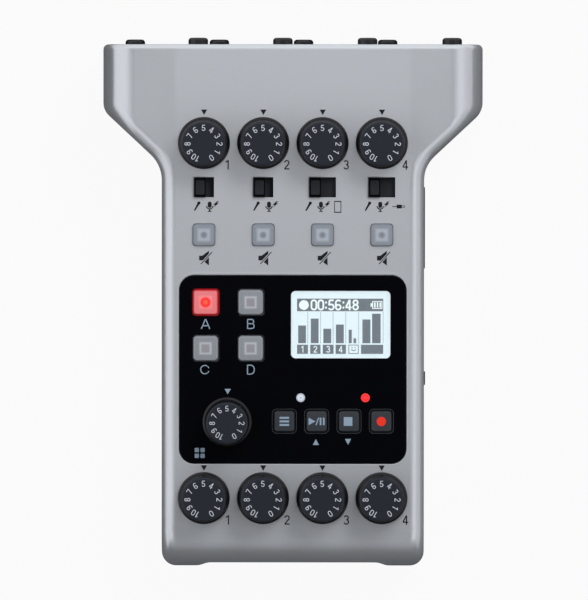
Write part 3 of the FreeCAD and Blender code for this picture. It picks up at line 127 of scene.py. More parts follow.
class NodeTree:
    """A node tree with short calls for its nodes and links."""

    def __init__(self, tree: bpy.types.NodeTree) -> None:
        """Keep the tree that is worked on."""
        self.tree = tree

    def add(self, kind: str, **values: object) -> bpy.types.Node:
        """Add a node.

        Args:
            kind: Node type.
            **values: Properties of the node.

        Returns:
            The new node.
        """
        made = self.tree.nodes.new(kind)
        for key, value in values.items():
            setattr(made, key, value)
        return made

    def feed(self, socket: bpy.types.NodeSocket, source: object) -> None:
        """Link a socket to another one, or set its value.

        Args:
            socket: Input socket.
            source: Output socket, number, colour or vector.
        """
        if isinstance(source, bpy.types.NodeSocket):
            self.tree.links.new(source, socket)
        elif isinstance(source, tuple) and len(source) == 3 and len(socket.default_value) == 4:
            socket.default_value = (*source, 1.0)
        else:
            socket.default_value = source

    def maths(self, operation: str, *sources: object, clamp: bool = False) -> bpy.types.NodeSocket:
        """Add a Math node.

        Args:
            operation: What it works out.
            *sources: Its values, as sockets or numbers.
            clamp: Keep the result between 0 and 1.

        Returns:
            Its result.
        """
        made = self.add("ShaderNodeMath", operation=operation, use_clamp=clamp)
        for socket, source in zip(made.inputs, sources):
            self.feed(socket, source)
        return made.outputs[0]

    def blend(self, mask: object, low: object, high: object) -> bpy.types.NodeSocket:
        """Mix two colours by a mask.

        Args:
            mask: 0 for the low colour, 1 for the high one.
            low: Colour or socket.
            high: Colour or socket.

        Returns:
            The mixed colour.
        """
        made = self.add("ShaderNodeMix", data_type="RGBA")
        self.feed(made.inputs[0], mask)
        self.feed(made.inputs[6], low)
        self.feed(made.inputs[7], high)
        return made.outputs[2]

    def spread(self, mask: object, low: float, high: float) -> bpy.types.NodeSocket:
        """Map a 0 to 1 mask onto a range of values.

        Args:
            mask: The mask.
            low: Value where it is 0.
            high: Value where it is 1.

        Returns:
            The value.
        """
        made = self.add("ShaderNodeMapRange")
        self.feed(made.inputs["Value"], mask)
        made.inputs["To Min"].default_value = low
        made.inputs["To Max"].default_value = high
        return made.outputs[0]

    def where(self, kind: str = "Object") -> bpy.types.NodeSocket:
        """Place of a surface point: in metres of its object, or in its UV map."""
        return self.add("ShaderNodeTexCoord").outputs[kind]

    def split(self, kind: str = "Object") -> Sequence[bpy.types.NodeSocket]:
        """The three parts of a surface point's place.

        Args:
            kind: Object for metres of its object, UV for its UV map.

        Returns:
            The three sockets.
        """
        parts = self.add("ShaderNodeSeparateXYZ")
        self.feed(parts.inputs[0], self.where(kind))
        return parts.outputs

    def noise(self, place: object, per_metre: object, detail: float,
              rough: float = 0.5) -> bpy.types.NodeSocket:
        """Add a Noise texture.

        Args:
            place: Where it is read.
            per_metre: How many of its waves a metre holds.
            detail: How many finer noises are laid over it.
            rough: How strong those are.

        Returns:
            Its value, 0 to 1.
        """
        made = self.add("ShaderNodeTexNoise")
        made.inputs["Detail"].default_value = detail
        made.inputs["Roughness"].default_value = rough
        self.feed(made.inputs["Vector"], place)
        self.feed(made.inputs["Scale"], per_metre)
        return made.outputs[0]

    def bump(self, height: object, distance: float, strength: object, **values: object) -> bpy.types.Node:
        """Add a Bump node.

        Args:
            height: What it takes for the height.
            distance: Height of a full step, in metres.
            strength: Share of the bump that shows.
            **values: Properties of the node.

        Returns:
            The node, whose only output is the normal.
        """
        made = self.add("ShaderNodeBump", **values)
        made.inputs["Distance"].default_value = distance
        self.feed(made.inputs["Strength"], strength)
        self.feed(made.inputs["Height"], height)
        return made

    def seen(self) -> bpy.types.NodeSocket:
        """Mask that is 1 for what the camera, gloss or glass sees, and 0 for the light that falls.

        Returns:
            The mask.
        """
        rays = self.add("ShaderNodeLightPath")
        direct = self.maths("MAXIMUM", rays.outputs["Is Camera Ray"], rays.outputs["Is Glossy Ray"])
        return self.maths("MAXIMUM", direct, rays.outputs["Is Transmission Ray"])


class MaterialTree(NodeTree):
    """The node tree of a new material, which starts empty."""

    def __init__(self, name: str) -> None:
        """Make the material.

        Args:
            name: Name of the material.
        """
        self.material = bpy.data.materials.new(name)
        self.material.use_nodes = True
        super().__init__(self.material.node_tree)
        self.tree.nodes.clear()

    def show(self, shader: bpy.types.Node) -> None:
        """Make a shader the surface of the material."""
        out = self.add("ShaderNodeOutputMaterial")
        self.feed(out.inputs["Surface"], shader.outputs[0])


class Effect(Enum):
    """Effects that more than one finish uses, each one shader group."""

    GRAIN = "fine_grain"
    CLOUDS = "soft_clouds"
    FLAKES = "paint_flakes"
    BRUSHING = "brushed_lines"
    SQUARE = "soft_square"
    DISC = "soft_disc"
    LEVEL = "soft_level"
    ROLL = "rolled_edge"


class EffectShelf:
    """Builds each shared shader group once and places it where a finish asks for it."""

    def __init__(self) -> None:
        """Start with no group built."""
        self.made: dict[Effect, bpy.types.NodeTree] = {}

    def place(self, nodes: NodeTree, effect: Effect, **values: object) -> bpy.types.Node:
        """Put a shared group into a material.

        Args:
            nodes: Tree of the material.
            effect: The group wanted.
            **values: Its inputs by name, with _ for a space.

        Returns:
            The group node.
        """
        if effect not in self.made:
            self.made[effect] = BUILDERS[effect]()
        node = nodes.add("ShaderNodeGroup", node_tree=self.made[effect])
        for key, value in values.items():
            nodes.feed(node.inputs[key.replace("_", " ")], value)
        return node


def new_group(effect: Effect, inputs: dict[str, float], outputs: Sequence[str]) -> tuple:
    """Start a shader group.

    Args:
        effect: The effect that it makes, which names it.
        inputs: Float inputs with their usual values.
        outputs: Outputs; Normal is a vector, the others are values.

    Returns:
        The tree's helper, its input node and its output node.
    """
    tree = bpy.data.node_groups.new(effect.value, "ShaderNodeTree")
    for label, value in inputs.items():
        kind = "NodeSocketVector" if label == "Normal" else "NodeSocketFloat"
        made = tree.interface.new_socket(label, in_out="INPUT", socket_type=kind)
        if kind == "NodeSocketFloat":
            made.default_value = value
    for label in outputs:
        kind = "NodeSocketVector" if label == "Normal" else "NodeSocketFloat"
        tree.interface.new_socket(label, in_out="OUTPUT", socket_type=kind)
    nodes = NodeTree(tree)
    return nodes, nodes.add("NodeGroupInput"), nodes.add("NodeGroupOutput")


def grain_group() -> bpy.types.NodeTree:
    """Fine moulded grain: a mask of its hills, and the normal that they give.

    Returns:
        The group, which each finish places with its own values.
    """
    nodes, given, out = new_group(Effect.GRAIN, {"Per Metre": 3000.0, "Height": 0.3}, ("Mask", "Normal"))
    hills = nodes.noise(nodes.where(), given.outputs["Per Metre"], 3.0, 0.55)
    bump = nodes.bump(hills, 0.08 * MM, given.outputs["Height"])
    nodes.feed(out.inputs["Mask"], hills)
    nodes.feed(out.inputs["Normal"], bump.outputs[0])
    return nodes.tree


def clouds_group() -> bpy.types.NodeTree:
    """Slow cloudy change over a surface, as handling and moulding leave it.

    Returns:
        The group, which each finish places with its own values.
    """
    nodes, given, out = new_group(Effect.CLOUDS, {"Per Metre": 40.0, "Contrast": 1.0}, ("Mask",))
    noise = nodes.noise(nodes.where(), given.outputs["Per Metre"], 4.0)
    centred = nodes.maths("SUBTRACT", noise, 0.5)
    wide = nodes.maths("MULTIPLY", centred, given.outputs["Contrast"])
    nodes.feed(out.inputs["Mask"], nodes.maths("ADD", wide, 0.5, clamp=True))
    return nodes.tree


def flakes_group() -> bpy.types.NodeTree:
    """Metal flakes in paint: a mask that differs from flake to flake.

    Returns:
        The group, which each finish places with its own values.
    """
    nodes, given, out = new_group(Effect.FLAKES, {"Per Metre": 9000.0}, ("Mask",))
    cells = nodes.add("ShaderNodeTexVoronoi")
    nodes.feed(cells.inputs["Vector"], nodes.where())
    nodes.feed(cells.inputs["Scale"], given.outputs["Per Metre"])
    grey = nodes.add("ShaderNodeSeparateColor")
    nodes.feed(grey.inputs[0], cells.outputs["Color"])
    nodes.feed(out.inputs["Mask"], grey.outputs[0])
    return nodes.tree


def brushing_group() -> bpy.types.NodeTree:
    """Fine drawn lines on plated metal.

    Returns:
        The group, which each finish places with its own values.
    """
    nodes, given, out = new_group(Effect.BRUSHING, {"Per Metre": 900.0, "Stretch": 14.0}, ("Mask", "Normal"))
    x, y, z = nodes.split()
    joined = nodes.add("ShaderNodeCombineXYZ")
    for socket, source in zip(joined.inputs, (x, y, nodes.maths("MULTIPLY", z, given.outputs["Stretch"]))):
        nodes.feed(socket, source)
    lines = nodes.noise(joined.outputs[0], given.outputs["Per Metre"], 5.0)
    bump = nodes.bump(lines, 0.03 * MM, 0.3)
    nodes.feed(out.inputs["Mask"], lines)
    nodes.feed(out.inputs["Normal"], bump.outputs[0])
    return nodes.tree


def from_middle(nodes: NodeTree) -> tuple:
    """Distances of a surface point from the middle of its key, read from the piece's own UV map.

    Args:
        nodes: Tree that the nodes are added to.

    Returns:
        The distance across and the distance along, both in millimetres and never negative.
    """
    across, along, _ = nodes.split("UV")
    return nodes.maths("ABSOLUTE", across), nodes.maths("ABSOLUTE", along)


def soft_step(nodes: NodeTree, high: object, low: object, given: bpy.types.Node) -> bpy.types.NodeSocket:
    """Mask that is 1 where high is over low, and fades out over the group's blur.

    Args:
        nodes: Tree that the nodes are added to.
        high: Socket or number.
        low: Socket or number.
        given: The group's input node, with its blur.

    Returns:
        The mask.
    """
    share = nodes.maths("DIVIDE", nodes.maths("SUBTRACT", high, low), given.outputs["Blur"])
    return nodes.maths("ADD", share, 0.5, clamp=True)


def square_group() -> bpy.types.NodeTree:
    """Soft square round the middle of a key.

    Returns:
        The group, which each finish places with its own values.
    """
    nodes, given, out = new_group(Effect.SQUARE, {"Half": 2.0, "Blur": 0.3}, ("Mask",))
    across, along = from_middle(nodes)
    furthest = nodes.maths("SMOOTH_MAX", across, along, 0.5)
    nodes.feed(out.inputs["Mask"], soft_step(nodes, given.outputs["Half"], furthest, given))
    return nodes.tree


def disc_group() -> bpy.types.NodeTree:
    """Soft disc round the middle of a key.

    Returns:
        The group, which each finish places with its own values.
    """
    nodes, given, out = new_group(Effect.DISC, {"Half": 1.0, "Blur": 0.3}, ("Mask",))
    across, along = from_middle(nodes)
    squares = nodes.maths("ADD", nodes.maths("POWER", across, 2.0), nodes.maths("POWER", along, 2.0))
    distance = nodes.maths("SQRT", squares)
    nodes.feed(out.inputs["Mask"], soft_step(nodes, given.outputs["Half"], distance, given))
    return nodes.tree


def level_group() -> bpy.types.NodeTree:
    """Mask that is 1 over a height, which the piece's own UV map gives in millimetres.

    Returns:
        The group, which each finish places with its own values.
    """
    nodes, given, out = new_group(Effect.LEVEL, {"Height": 5.0, "Blur": 0.2}, ("Mask",))
    _, height, _ = nodes.split("UV")
    nodes.feed(out.inputs["Mask"], soft_step(nodes, height, given.outputs["Height"], given))
    return nodes.tree


def roll_group() -> bpy.types.NodeTree:
    """Normal that rolls over towards the two outer edges, wider than the modelled rounding.

    Returns:
        The group, which each finish places with its own values.
    """
    nodes, given, out = new_group(Effect.ROLL, {"From": 47.0, "Steep": 0.08, "Normal": 0.0}, ("Normal",))
    x, _, _ = nodes.split()
    across = nodes.maths("MULTIPLY", nodes.maths("ABSOLUTE", x), 1.0 / MM)
    past = nodes.maths("MAXIMUM", nodes.maths("SUBTRACT", across, given.outputs["From"]), 0.0)
    drop = nodes.maths("MULTIPLY", nodes.maths("POWER", past, 2.0), given.outputs["Steep"])
    bump = nodes.bump(drop, MM, 1.0, invert=True)
    nodes.feed(bump.inputs["Normal"], given.outputs["Normal"])
    nodes.feed(out.inputs["Normal"], bump.outputs[0])
    return nodes.tree


BUILDERS: dict[Effect, Callable[[], bpy.types.NodeTree]] = {
    Effect.GRAIN: grain_group,
    Effect.CLOUDS: clouds_group,
    Effect.FLAKES: flakes_group,
    Effect.BRUSHING: brushing_group,
    Effect.SQUARE: square_group,
    Effect.DISC: disc_group,
    Effect.LEVEL: level_group,
    Effect.ROLL: roll_group,
}
SHELF = EffectShelf()


# --- Finishes -----------------------------------------------------------------------------------


@dataclass(frozen=True)
class Moulding:
    """Moulded plastic or rubber, with its grain and the slow change that handling leaves."""

    name: str
    colour: Colour
    roughness: float = 0.5
    grain: float = 3000.0
    height: float = 0.3
    tint: float = 0.12
    specular: float = 0.5
    grain_share: float = 0.6
    clouds: float = 45.0
    cloud_contrast: float = 1.6
    smoothest: float = 0.9
    roughest: float = 1.12

    def build(self) -> bpy.types.Material:
        """Make the material.

        Returns:
            The material.
        """
        nodes, shader = self.start()
        self.colours(nodes, shader)
        return nodes.material

    def start(self) -> tuple[MaterialTree, bpy.types.Node]:
        """New material tree with its Principled node.

        Returns:
            The tree's helper and its Principled node.
        """
        nodes = MaterialTree(self.name)
        shader = nodes.add("ShaderNodeBsdfPrincipled")
        shader.inputs["Specular IOR Level"].default_value = self.specular
        nodes.show(shader)
        return nodes, shader

    def shades(self) -> tuple[Colour, Colour]:
        """The darker and the lighter shade between which the colour wanders.

        Returns:
            The two colours.
        """
        low = tuple(c * (1.0 - self.tint) for c in self.colour)
        high = tuple(min(1.0, c * (1.0 + self.tint)) for c in self.colour)
        return low, high

    def colours(self, nodes: NodeTree, shader: bpy.types.Node) -> bpy.types.NodeSocket:
        """Feed colour, roughness and normal.

        Args:
            nodes: Tree of the material.
            shader: Its Principled node.

        Returns:
            The colour, for what a finish adds to it.
        """
        grain = SHELF.place(nodes, Effect.GRAIN, Per_Metre=self.grain, Height=self.height)
        clouds = SHELF.place(nodes, Effect.CLOUDS, Per_Metre=self.clouds, Contrast=self.cloud_contrast)
        both = nodes.maths("MULTIPLY_ADD", grain.outputs["Mask"], self.grain_share,
                           nodes.maths("MULTIPLY", clouds.outputs["Mask"], 1.0 - self.grain_share))
        colour = nodes.blend(both, *self.shades())
        nodes.feed(shader.inputs["Base Color"], colour)
        rough = nodes.spread(clouds.outputs["Mask"], self.roughness * self.smoothest,
                             min(1.0, self.roughness * self.roughest))
        nodes.feed(shader.inputs["Roughness"], rough)
        nodes.feed(shader.inputs["Normal"], grain.outputs["Normal"])
        return colour


@dataclass(frozen=True)
class SilverPaint(Moulding):
    """Satin silver paint with fine metal flakes."""

    metal: float = 0.62
    metal_range: float = 0.04
    flakes: float = 7000.0
    flake_light: float = 1.3
    flake_share: float = 0.16
    roll_from: float = 46.4
    roll_steep: float = 0.05

    def build(self) -> bpy.types.Material:
        """Make the material.

        Returns:
            The material.
        """
        nodes, shader = self.start()
        colour = self.colours(nodes, shader)
        flakes = SHELF.place(nodes, Effect.FLAKES, Per_Metre=self.flakes)
        lighter = tuple(min(1.0, c * self.flake_light) for c in self.colour)
        share = nodes.spread(flakes.outputs["Mask"], 0.0, self.flake_share)
        nodes.feed(shader.inputs["Base Color"], nodes.blend(share, colour, lighter))
        metal = nodes.spread(flakes.outputs["Mask"], self.metal - self.metal_range,
                             self.metal + self.metal_range)
        nodes.feed(shader.inputs["Metallic"], metal)
        roll = SHELF.place(nodes, Effect.ROLL, From=self.roll_from, Steep=self.roll_steep)
        nodes.feed(roll.inputs["Normal"], shader.inputs["Normal"].links[0].from_socket)
        nodes.feed(shader.inputs["Normal"], roll.outputs["Normal"])
        return nodes.material


@dataclass(frozen=True)
class PlatedMetal(Moulding):
    """Plated metal with fine drawn lines."""

    def build(self) -> bpy.types.Material:
        """Make the material.

        Returns:
            The material.
        """
        nodes, shader = self.start()
        shader.inputs["Metallic"].default_value = 1.0
        lines = SHELF.place(nodes, Effect.BRUSHING)
        nodes.feed(shader.inputs["Base Color"], nodes.blend(lines.outputs["Mask"], *self.shades()))
        rough = nodes.spread(lines.outputs["Mask"], self.roughness * 0.8, self.roughness * 1.3)
        nodes.feed(shader.inputs["Roughness"], rough)
        nodes.feed(shader.inputs["Normal"], lines.outputs["Normal"])
        return nodes.material


@dataclass(frozen=True)
class ClearSheet(Moulding):
    """Clear sheet, faintly smudged."""

    bending: float = 1.3

    def build(self) -> bpy.types.Material:
        """Make the material.

        Returns:
            The material.
        """
        nodes, shader = self.start()
        shader.inputs["Transmission Weight"].default_value = 1.0
        shader.inputs["IOR"].default_value = self.bending
        clouds = SHELF.place(nodes, Effect.CLOUDS, Per_Metre=120.0, Contrast=1.2)
        nodes.feed(shader.inputs["Base Color"], nodes.blend(clouds.outputs["Mask"], *self.shades()))
        nodes.feed(shader.inputs["Roughness"], nodes.spread(clouds.outputs["Mask"], 0.0, self.roughness))
        return nodes.material


@dataclass(frozen=True)
class LitSurface(Moulding):
    """Surface that shows its own light, a little uneven as a diffuser is."""

    glow: float = 0.8
    lamp: Colour = (1.0, 1.0, 1.0)

    def build(self) -> bpy.types.Material:
        """Make the material.

        Returns:
            The material.
        """
        nodes, shader = self.start()
        self.colours(nodes, shader)
        shader.inputs["Emission Strength"].default_value = self.glow
        clouds = SHELF.place(nodes, Effect.CLOUDS, Per_Metre=90.0, Contrast=0.8)
        dim = tuple(c * 0.95 for c in self.lamp)
        nodes.feed(shader.inputs["Emission Color"], nodes.blend(clouds.outputs["Mask"], dim, self.lamp))
        return nodes.material


@dataclass(frozen=True)
class LightPipe(Moulding):
    """Clear light pipe whose lit core shows through, softer in its middle."""

    glow: float = 0.8
    lamp: Colour = (1.0, 1.0, 1.0)
    core: float = 0.9
    dim_core: Colour = (0.5, 0.5, 0.5)

    def build(self) -> bpy.types.Material:
        """Make the material.

        Returns:
            The material.
        """
        nodes, shader = self.start()
        colour = self.colours(nodes, shader)
        lit = SHELF.place(nodes, Effect.DISC, Half=self.core, Blur=0.12)
        middle = SHELF.place(nodes, Effect.DISC, Half=self.core * 0.45, Blur=0.3)
        dark = tuple(c * 0.2 for c in self.colour)
        nodes.feed(shader.inputs["Base Color"], nodes.blend(lit.outputs["Mask"], dark, colour))
        light = nodes.blend(middle.outputs["Mask"], self.lamp, self.dim_core)
        light = nodes.blend(lit.outputs["Mask"], (0.0, 0.0, 0.0), light)
        nodes.feed(shader.inputs["Emission Color"], light)
        shader.inputs["Emission Strength"].default_value = self.glow
        return nodes.material


@dataclass(frozen=True)
class KeyRubber(Moulding):
    """Translucent key with a lighter square and a spot, both under its skin."""

    rim: Colour = (0.3, 0.3, 0.3)
    rim_half: float = 3.0
    square: Colour = (0.6, 0.6, 0.6)
    square_half: float = 2.0
    spot: Colour = (0.4, 0.4, 0.4)
    spot_half: float = 1.0
    blur: float = 0.5
    round_spot: bool = True
    heart: Colour | None = None
    glow: float = 0.0

    def build(self) -> bpy.types.Material:
        """Make the material.

        Returns:
            The material.
        """
        nodes, shader = self.start()
        colour = self.colours(nodes, shader)
        shader.inputs["Subsurface Weight"].default_value = 0.12
        shader.inputs["Subsurface Radius"].default_value = (0.0008, 0.0006, 0.0006)
        shader.inputs["Subsurface Scale"].default_value = 1.0
        whole = SHELF.place(nodes, Effect.SQUARE, Half=self.rim_half, Blur=self.blur * 0.6)
        inner = SHELF.place(nodes, Effect.SQUARE, Half=self.square_half, Blur=self.blur)
        kind = Effect.DISC if self.round_spot else Effect.SQUARE
        spot = SHELF.place(nodes, kind, Half=self.spot_half, Blur=self.blur)
        colour = nodes.blend(whole.outputs["Mask"], self.rim, colour)
        colour = nodes.blend(inner.outputs["Mask"], colour, self.square)
        colour = nodes.blend(spot.outputs["Mask"], colour, self.spot)
        if self.heart:
            heart = SHELF.place(nodes, Effect.DISC, Half=self.spot_half * 0.5, Blur=self.blur)
            colour = nodes.blend(heart.outputs["Mask"], colour, self.heart)
        nodes.feed(shader.inputs["Base Color"], colour)
        if self.glow:
            shader.inputs["Emission Strength"].default_value = self.glow
            nodes.feed(shader.inputs["Emission Color"], colour)
        return nodes.material


@dataclass(frozen=True)
class KnobSatin(Moulding):
    """Satin knob top with a polished skirt, told apart by height; its fluted side is coloured darker as
    painted shade.
    """

    # Painted shade: the fluted side's colour, darker than the top because the side turns away from the light.
    side: Colour = (0.006, 0.006, 0.008)
    side_top: float = 9.3
    skirt_top: float = 1.95
    polish: float = 0.16
    skirt_gloss: float = 0.6
    top_gloss: float = 0.52
    gloss_roughness: float = 0.4

    def build(self) -> bpy.types.Material:
        """Make the material.

        Returns:
            The material.
        """
        nodes, shader = self.start()
        colour = self.colours(nodes, shader)
        high = SHELF.place(nodes, Effect.LEVEL, Height=self.side_top, Blur=0.25).outputs["Mask"]
        over_skirt = SHELF.place(nodes, Effect.LEVEL, Height=self.skirt_top, Blur=0.1).outputs["Mask"]
        # Painted shade: under the side's top the knob takes the darker side colour.
        nodes.feed(shader.inputs["Base Color"], nodes.blend(high, self.side, colour))
        nodes.feed(shader.inputs["Roughness"], nodes.spread(over_skirt, self.polish, self.roughness))
        gloss = nodes.maths("MAXIMUM", nodes.spread(over_skirt, self.skirt_gloss, 0.0),
                            nodes.spread(high, 0.0, self.top_gloss))
        nodes.feed(shader.inputs["Coat Weight"], gloss)
        shader.inputs["Coat Roughness"].default_value = self.gloss_roughness
        return nodes.material


@dataclass(frozen=True)
class GroovedCap(Moulding):
    """Switch cap whose band round its ribs is coloured near black as painted shade."""

    # Painted shade: near-black colour of the band round the ribs.
    groove: Colour = (0.0008, 0.0008, 0.0010)
    ribs_half: float = 1.3

    def build(self) -> bpy.types.Material:
        """Make the material.

        Returns:
            The material.
        """
        nodes, shader = self.start()
        colour = self.colours(nodes, shader)
        ribs = SHELF.place(nodes, Effect.SQUARE, Half=self.ribs_half, Blur=0.18)
        # Painted shade: outside the ribs the colour falls to near black.
        nodes.feed(shader.inputs["Base Color"], nodes.blend(ribs.outputs["Mask"], self.groove, colour))
        return nodes.material


@dataclass(frozen=True)
class CellJacket(Moulding):
    """Plain cell jacket with a copper band by its plus end."""

    band: Colour = (0.45, 0.18, 0.07)
    band_from: float = 12.0
    metal: float = 0.5

    def build(self) -> bpy.types.Material:
        """Make the material.

        Returns:
            The material.
        """
        nodes, shader = self.start()
        colour = self.colours(nodes, shader)
        x, _, _ = nodes.split()
        mask = nodes.maths("GREATER_THAN", x, self.band_from * MM)
        nodes.feed(shader.inputs["Base Color"], nodes.blend(mask, colour, self.band))
        shader.inputs["Metallic"].default_value = self.metal
        return nodes.material


@dataclass(frozen=True)
class BoardMask(Moulding):
    """Solder mask with faint tracks below it."""

    track: Colour = (0.09, 0.30, 0.14)
    tracks: float = 220.0
    track_share: float = 0.03

    def build(self) -> bpy.types.Material:
        """Make the material.

        Returns:
            The material.
        """
        nodes, shader = self.start()
        colour = self.colours(nodes, shader)
        bricks = nodes.add("ShaderNodeTexBrick")
        nodes.feed(bricks.inputs["Vector"], nodes.where())
        bricks.inputs["Scale"].default_value = self.tracks
        bricks.inputs["Mortar Size"].default_value = self.track_share
        nodes.feed(shader.inputs["Base Color"], nodes.blend(bricks.outputs["Fac"], colour, self.track))
        return nodes.material


SILVER = SilverPaint("silver_paint", (0.63, 0.658, 0.705), 0.32, 3200.0, 0.06, 0.03)
FINISHES: dict[str, Moulding] = {
    "silver_case": SILVER,
    "dark_tray": Moulding("tray_plastic", (0.030, 0.031, 0.034), 0.55, 1800.0, 0.5, 0.2),
    "black_rubber": Moulding("foot_rubber", (0.018, 0.018, 0.019), 0.82, 2600.0, 0.6, 0.25, 0.3),
    "cell_jacket": CellJacket("cell_jacket", (0.10, 0.105, 0.12), 0.34, 900.0, 0.05, 0.1),
    "nickel": PlatedMetal("nickel_plate", (0.62, 0.61, 0.58), 0.28),
    "black_gloss": Moulding("panel_gloss", (0.0016, 0.0018, 0.0030), 0.06, 300.0, 0.01, 0.3, 0.14),
    "clear_window": ClearSheet("clear_window", (0.97, 0.985, 1.0), 0.03, tint=0.01, specular=0.3),
    "display_glass": Moulding("display_glass", (0.30, 0.33, 0.35), 0.25, 1200.0, 0.05),
    "clear_light": LightPipe("white_lens", (0.20, 0.21, 0.22), 0.3, 1500.0, 0.05, lamp=(0.58, 0.64, 0.75),
                             glow=0.85, core=0.92, dim_core=(0.40, 0.44, 0.52)),
    "red_light": LightPipe("red_lens", (0.20, 0.008, 0.008), 0.3, 1500.0, 0.05, lamp=(0.90, 0.014, 0.02),
                           glow=0.95, core=0.92, dim_core=(1.0, 0.05, 0.05)),
    "black_moulding": Moulding("socket_plastic", (0.014, 0.014, 0.015), 0.42, 2200.0, 0.25, 0.2),
    "board_green": BoardMask("board_mask", (0.02, 0.11, 0.045), 0.35, 1400.0, 0.1),
    "dark_screw": PlatedMetal("black_zinc", (0.050, 0.050, 0.054), 0.36),
    # The switch caps' finish carries a painted shade band round the ribs.
    "dark_cap": GroovedCap("cap_plastic", (0.033, 0.036, 0.042), 0.5, 2600.0, 0.25, 0.12, 0.02),
    "knob_black": KnobSatin("knob_satin", (0.0125, 0.0155, 0.0225), 0.46, 3600.0, 0.28, 0.14, 0.1),
    "frosted_button": KeyRubber(
        "mute_key", (0.25, 0.274, 0.322), 0.42, 2400.0, 0.1, 0.05, rim=(0.21, 0.23, 0.265), rim_half=2.95,
        square=(0.40, 0.44, 0.50), square_half=1.85, spot=(0.21, 0.223, 0.27), spot_half=0.9, blur=0.8),
    "grey_pad": KeyRubber(
        "pad_key", (0.252, 0.272, 0.304), 0.38, 2400.0, 0.1, 0.05, rim=(0.27, 0.29, 0.32), rim_half=3.05,
        square=(0.47, 0.49, 0.53), square_half=1.78, spot=(0.295, 0.288, 0.315), spot_half=1.25, blur=0.5,
        round_spot=False),
    "lit_pad": KeyRubber(
        "lit_pad_key", (0.62, 0.16, 0.172), 0.42, 2400.0, 0.1, 0.03, rim=(0.48, 0.012, 0.02), rim_half=3.35,
        square=(0.78, 0.20, 0.21), square_half=1.9, spot=(0.80, 0.012, 0.02), spot_half=1.5, blur=0.65,
        heart=(0.92, 0.10, 0.045), glow=0.30),
    "slate_button": Moulding("transport_key", (0.030, 0.035, 0.043), 0.40, 3000.0, 0.15, 0.12, 0.4),
}
INKS: dict[str, Moulding] = {
    "black_ink": Moulding("black_ink", (0.006, 0.007, 0.010), 0.5, 5000.0, 0.05, specular=0.3),
    "white_ink": Moulding("white_ink", (0.62, 0.65, 0.72), 0.5, 5000.0, 0.05, 0.05),
    "blue_grey_ink": Moulding("blue_grey_ink", (0.26, 0.35, 0.45), 0.5, 5000.0, 0.05, 0.06),
    # Painted glow: the printed red record sign gives off light of its own, though it is no lamp.
    "red_ink_painted_glow": LitSurface("red_ink_painted_glow", (0.55, 0.02, 0.008), 0.45, 5000.0, 0.05, glow=0.28,
                          lamp=(1.0, 0.03, 0.012)),
    "display_pale": LitSurface("display_pale", (0.26, 0.30, 0.32), 0.4, 5000.0, 0.02, glow=0.66,
                               lamp=(0.83, 0.96, 1.0)),
    "display_white": LitSurface("display_white", (0.30, 0.33, 0.34), 0.4, 5000.0, 0.02, glow=0.66,
                                lamp=(0.90, 1.0, 1.0)),
    "display_dark": LitSurface("display_dark", (0.10, 0.12, 0.14), 0.5, 5000.0, 0.02, glow=0.06,
                               lamp=(0.7, 0.85, 1.0)),
    # Painted highlight: grey rings on the black panel stand in for the light that the chamfers round the
    # transport keys catch.
    "painted_rim_highlight_grey": Moulding("painted_rim_highlight_grey", (0.062, 0.068, 0.078), 0.3, 3000.0, 0.1),
}


class Wardrobe:
    """Hands out materials, each built once."""

    def __init__(self) -> None:
        """Start empty."""
        self.made: dict[str, bpy.types.Material] = {}

    def get(self, finish: Moulding) -> bpy.types.Material:
        """Material of a finish.

        Args:
            finish: The finish.

        Returns:
            Its material, made at the first call.
        """
        if finish.name not in self.made:
            self.made[finish.name] = finish.build()
        return self.made[finish.name]


WARDROBE = Wardrobe()


# --- Mesh tools ---------------------------------------------------------------------------------


def settle(name: str, bm: bmesh.types.BMesh, place: Matrix, finish: Moulding, body: str,
           flat_below: float = 35.0) -> bpy.types.Object:
    """Turn a mesh in millimetres into a finished piece.

    Args:
        name: Name of the piece.
        bm: The mesh, which is freed.
        place: Matrix into the row frame.
        finish: Its finish.
        body: Body that it rides on.
        flat_below: Edges sharper than this many degrees stay sharp.

    Returns:
        The piece.
    """
    bmesh.ops.transform(bm, matrix=place, verts=bm.verts)
    bm.normal_update()
    limit = math.radians(flat_below)
    for face in bm.faces:
        face.smooth = True
    for edge in bm.edges:
        edge.smooth = len(edge.link_faces) == 2 and edge.calc_face_angle(0.0) < limit
    mesh = bpy.data.meshes.new(name)
    bm.to_mesh(mesh)
    bm.free()
    piece = bpy.data.objects.new(name, mesh)
    bpy.context.scene.collection.objects.link(piece)
    mesh.materials.append(WARDROBE.get(finish))
    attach(piece, body)
    log.info("%s: %d faces on %s", name, len(mesh.polygons), body)
    return piece


def gather(target: bmesh.types.BMesh, part: bmesh.types.BMesh, place: Matrix | None = None) -> None:
    """Add one mesh to another.

    Args:
        target: Mesh that grows.
        part: Mesh that is added, and freed.
        place: Move of the added mesh, in millimetres.
    """
    if place is not None:
        bmesh.ops.transform(part, matrix=place, verts=part.verts)
    mesh = bpy.data.meshes.new("gathered")
    part.to_mesh(mesh)
    part.free()
    target.from_mesh(mesh)
    bpy.data.meshes.remove(mesh)


def shift(x: float, y: float, z: float = 0.0, turn: float = 0.0) -> Matrix:
    """Move in millimetres, with a turn about Z in degrees before it."""
    return Matrix.Translation((x, y, z)) @ Matrix.Rotation(math.radians(turn), 4, "Z")


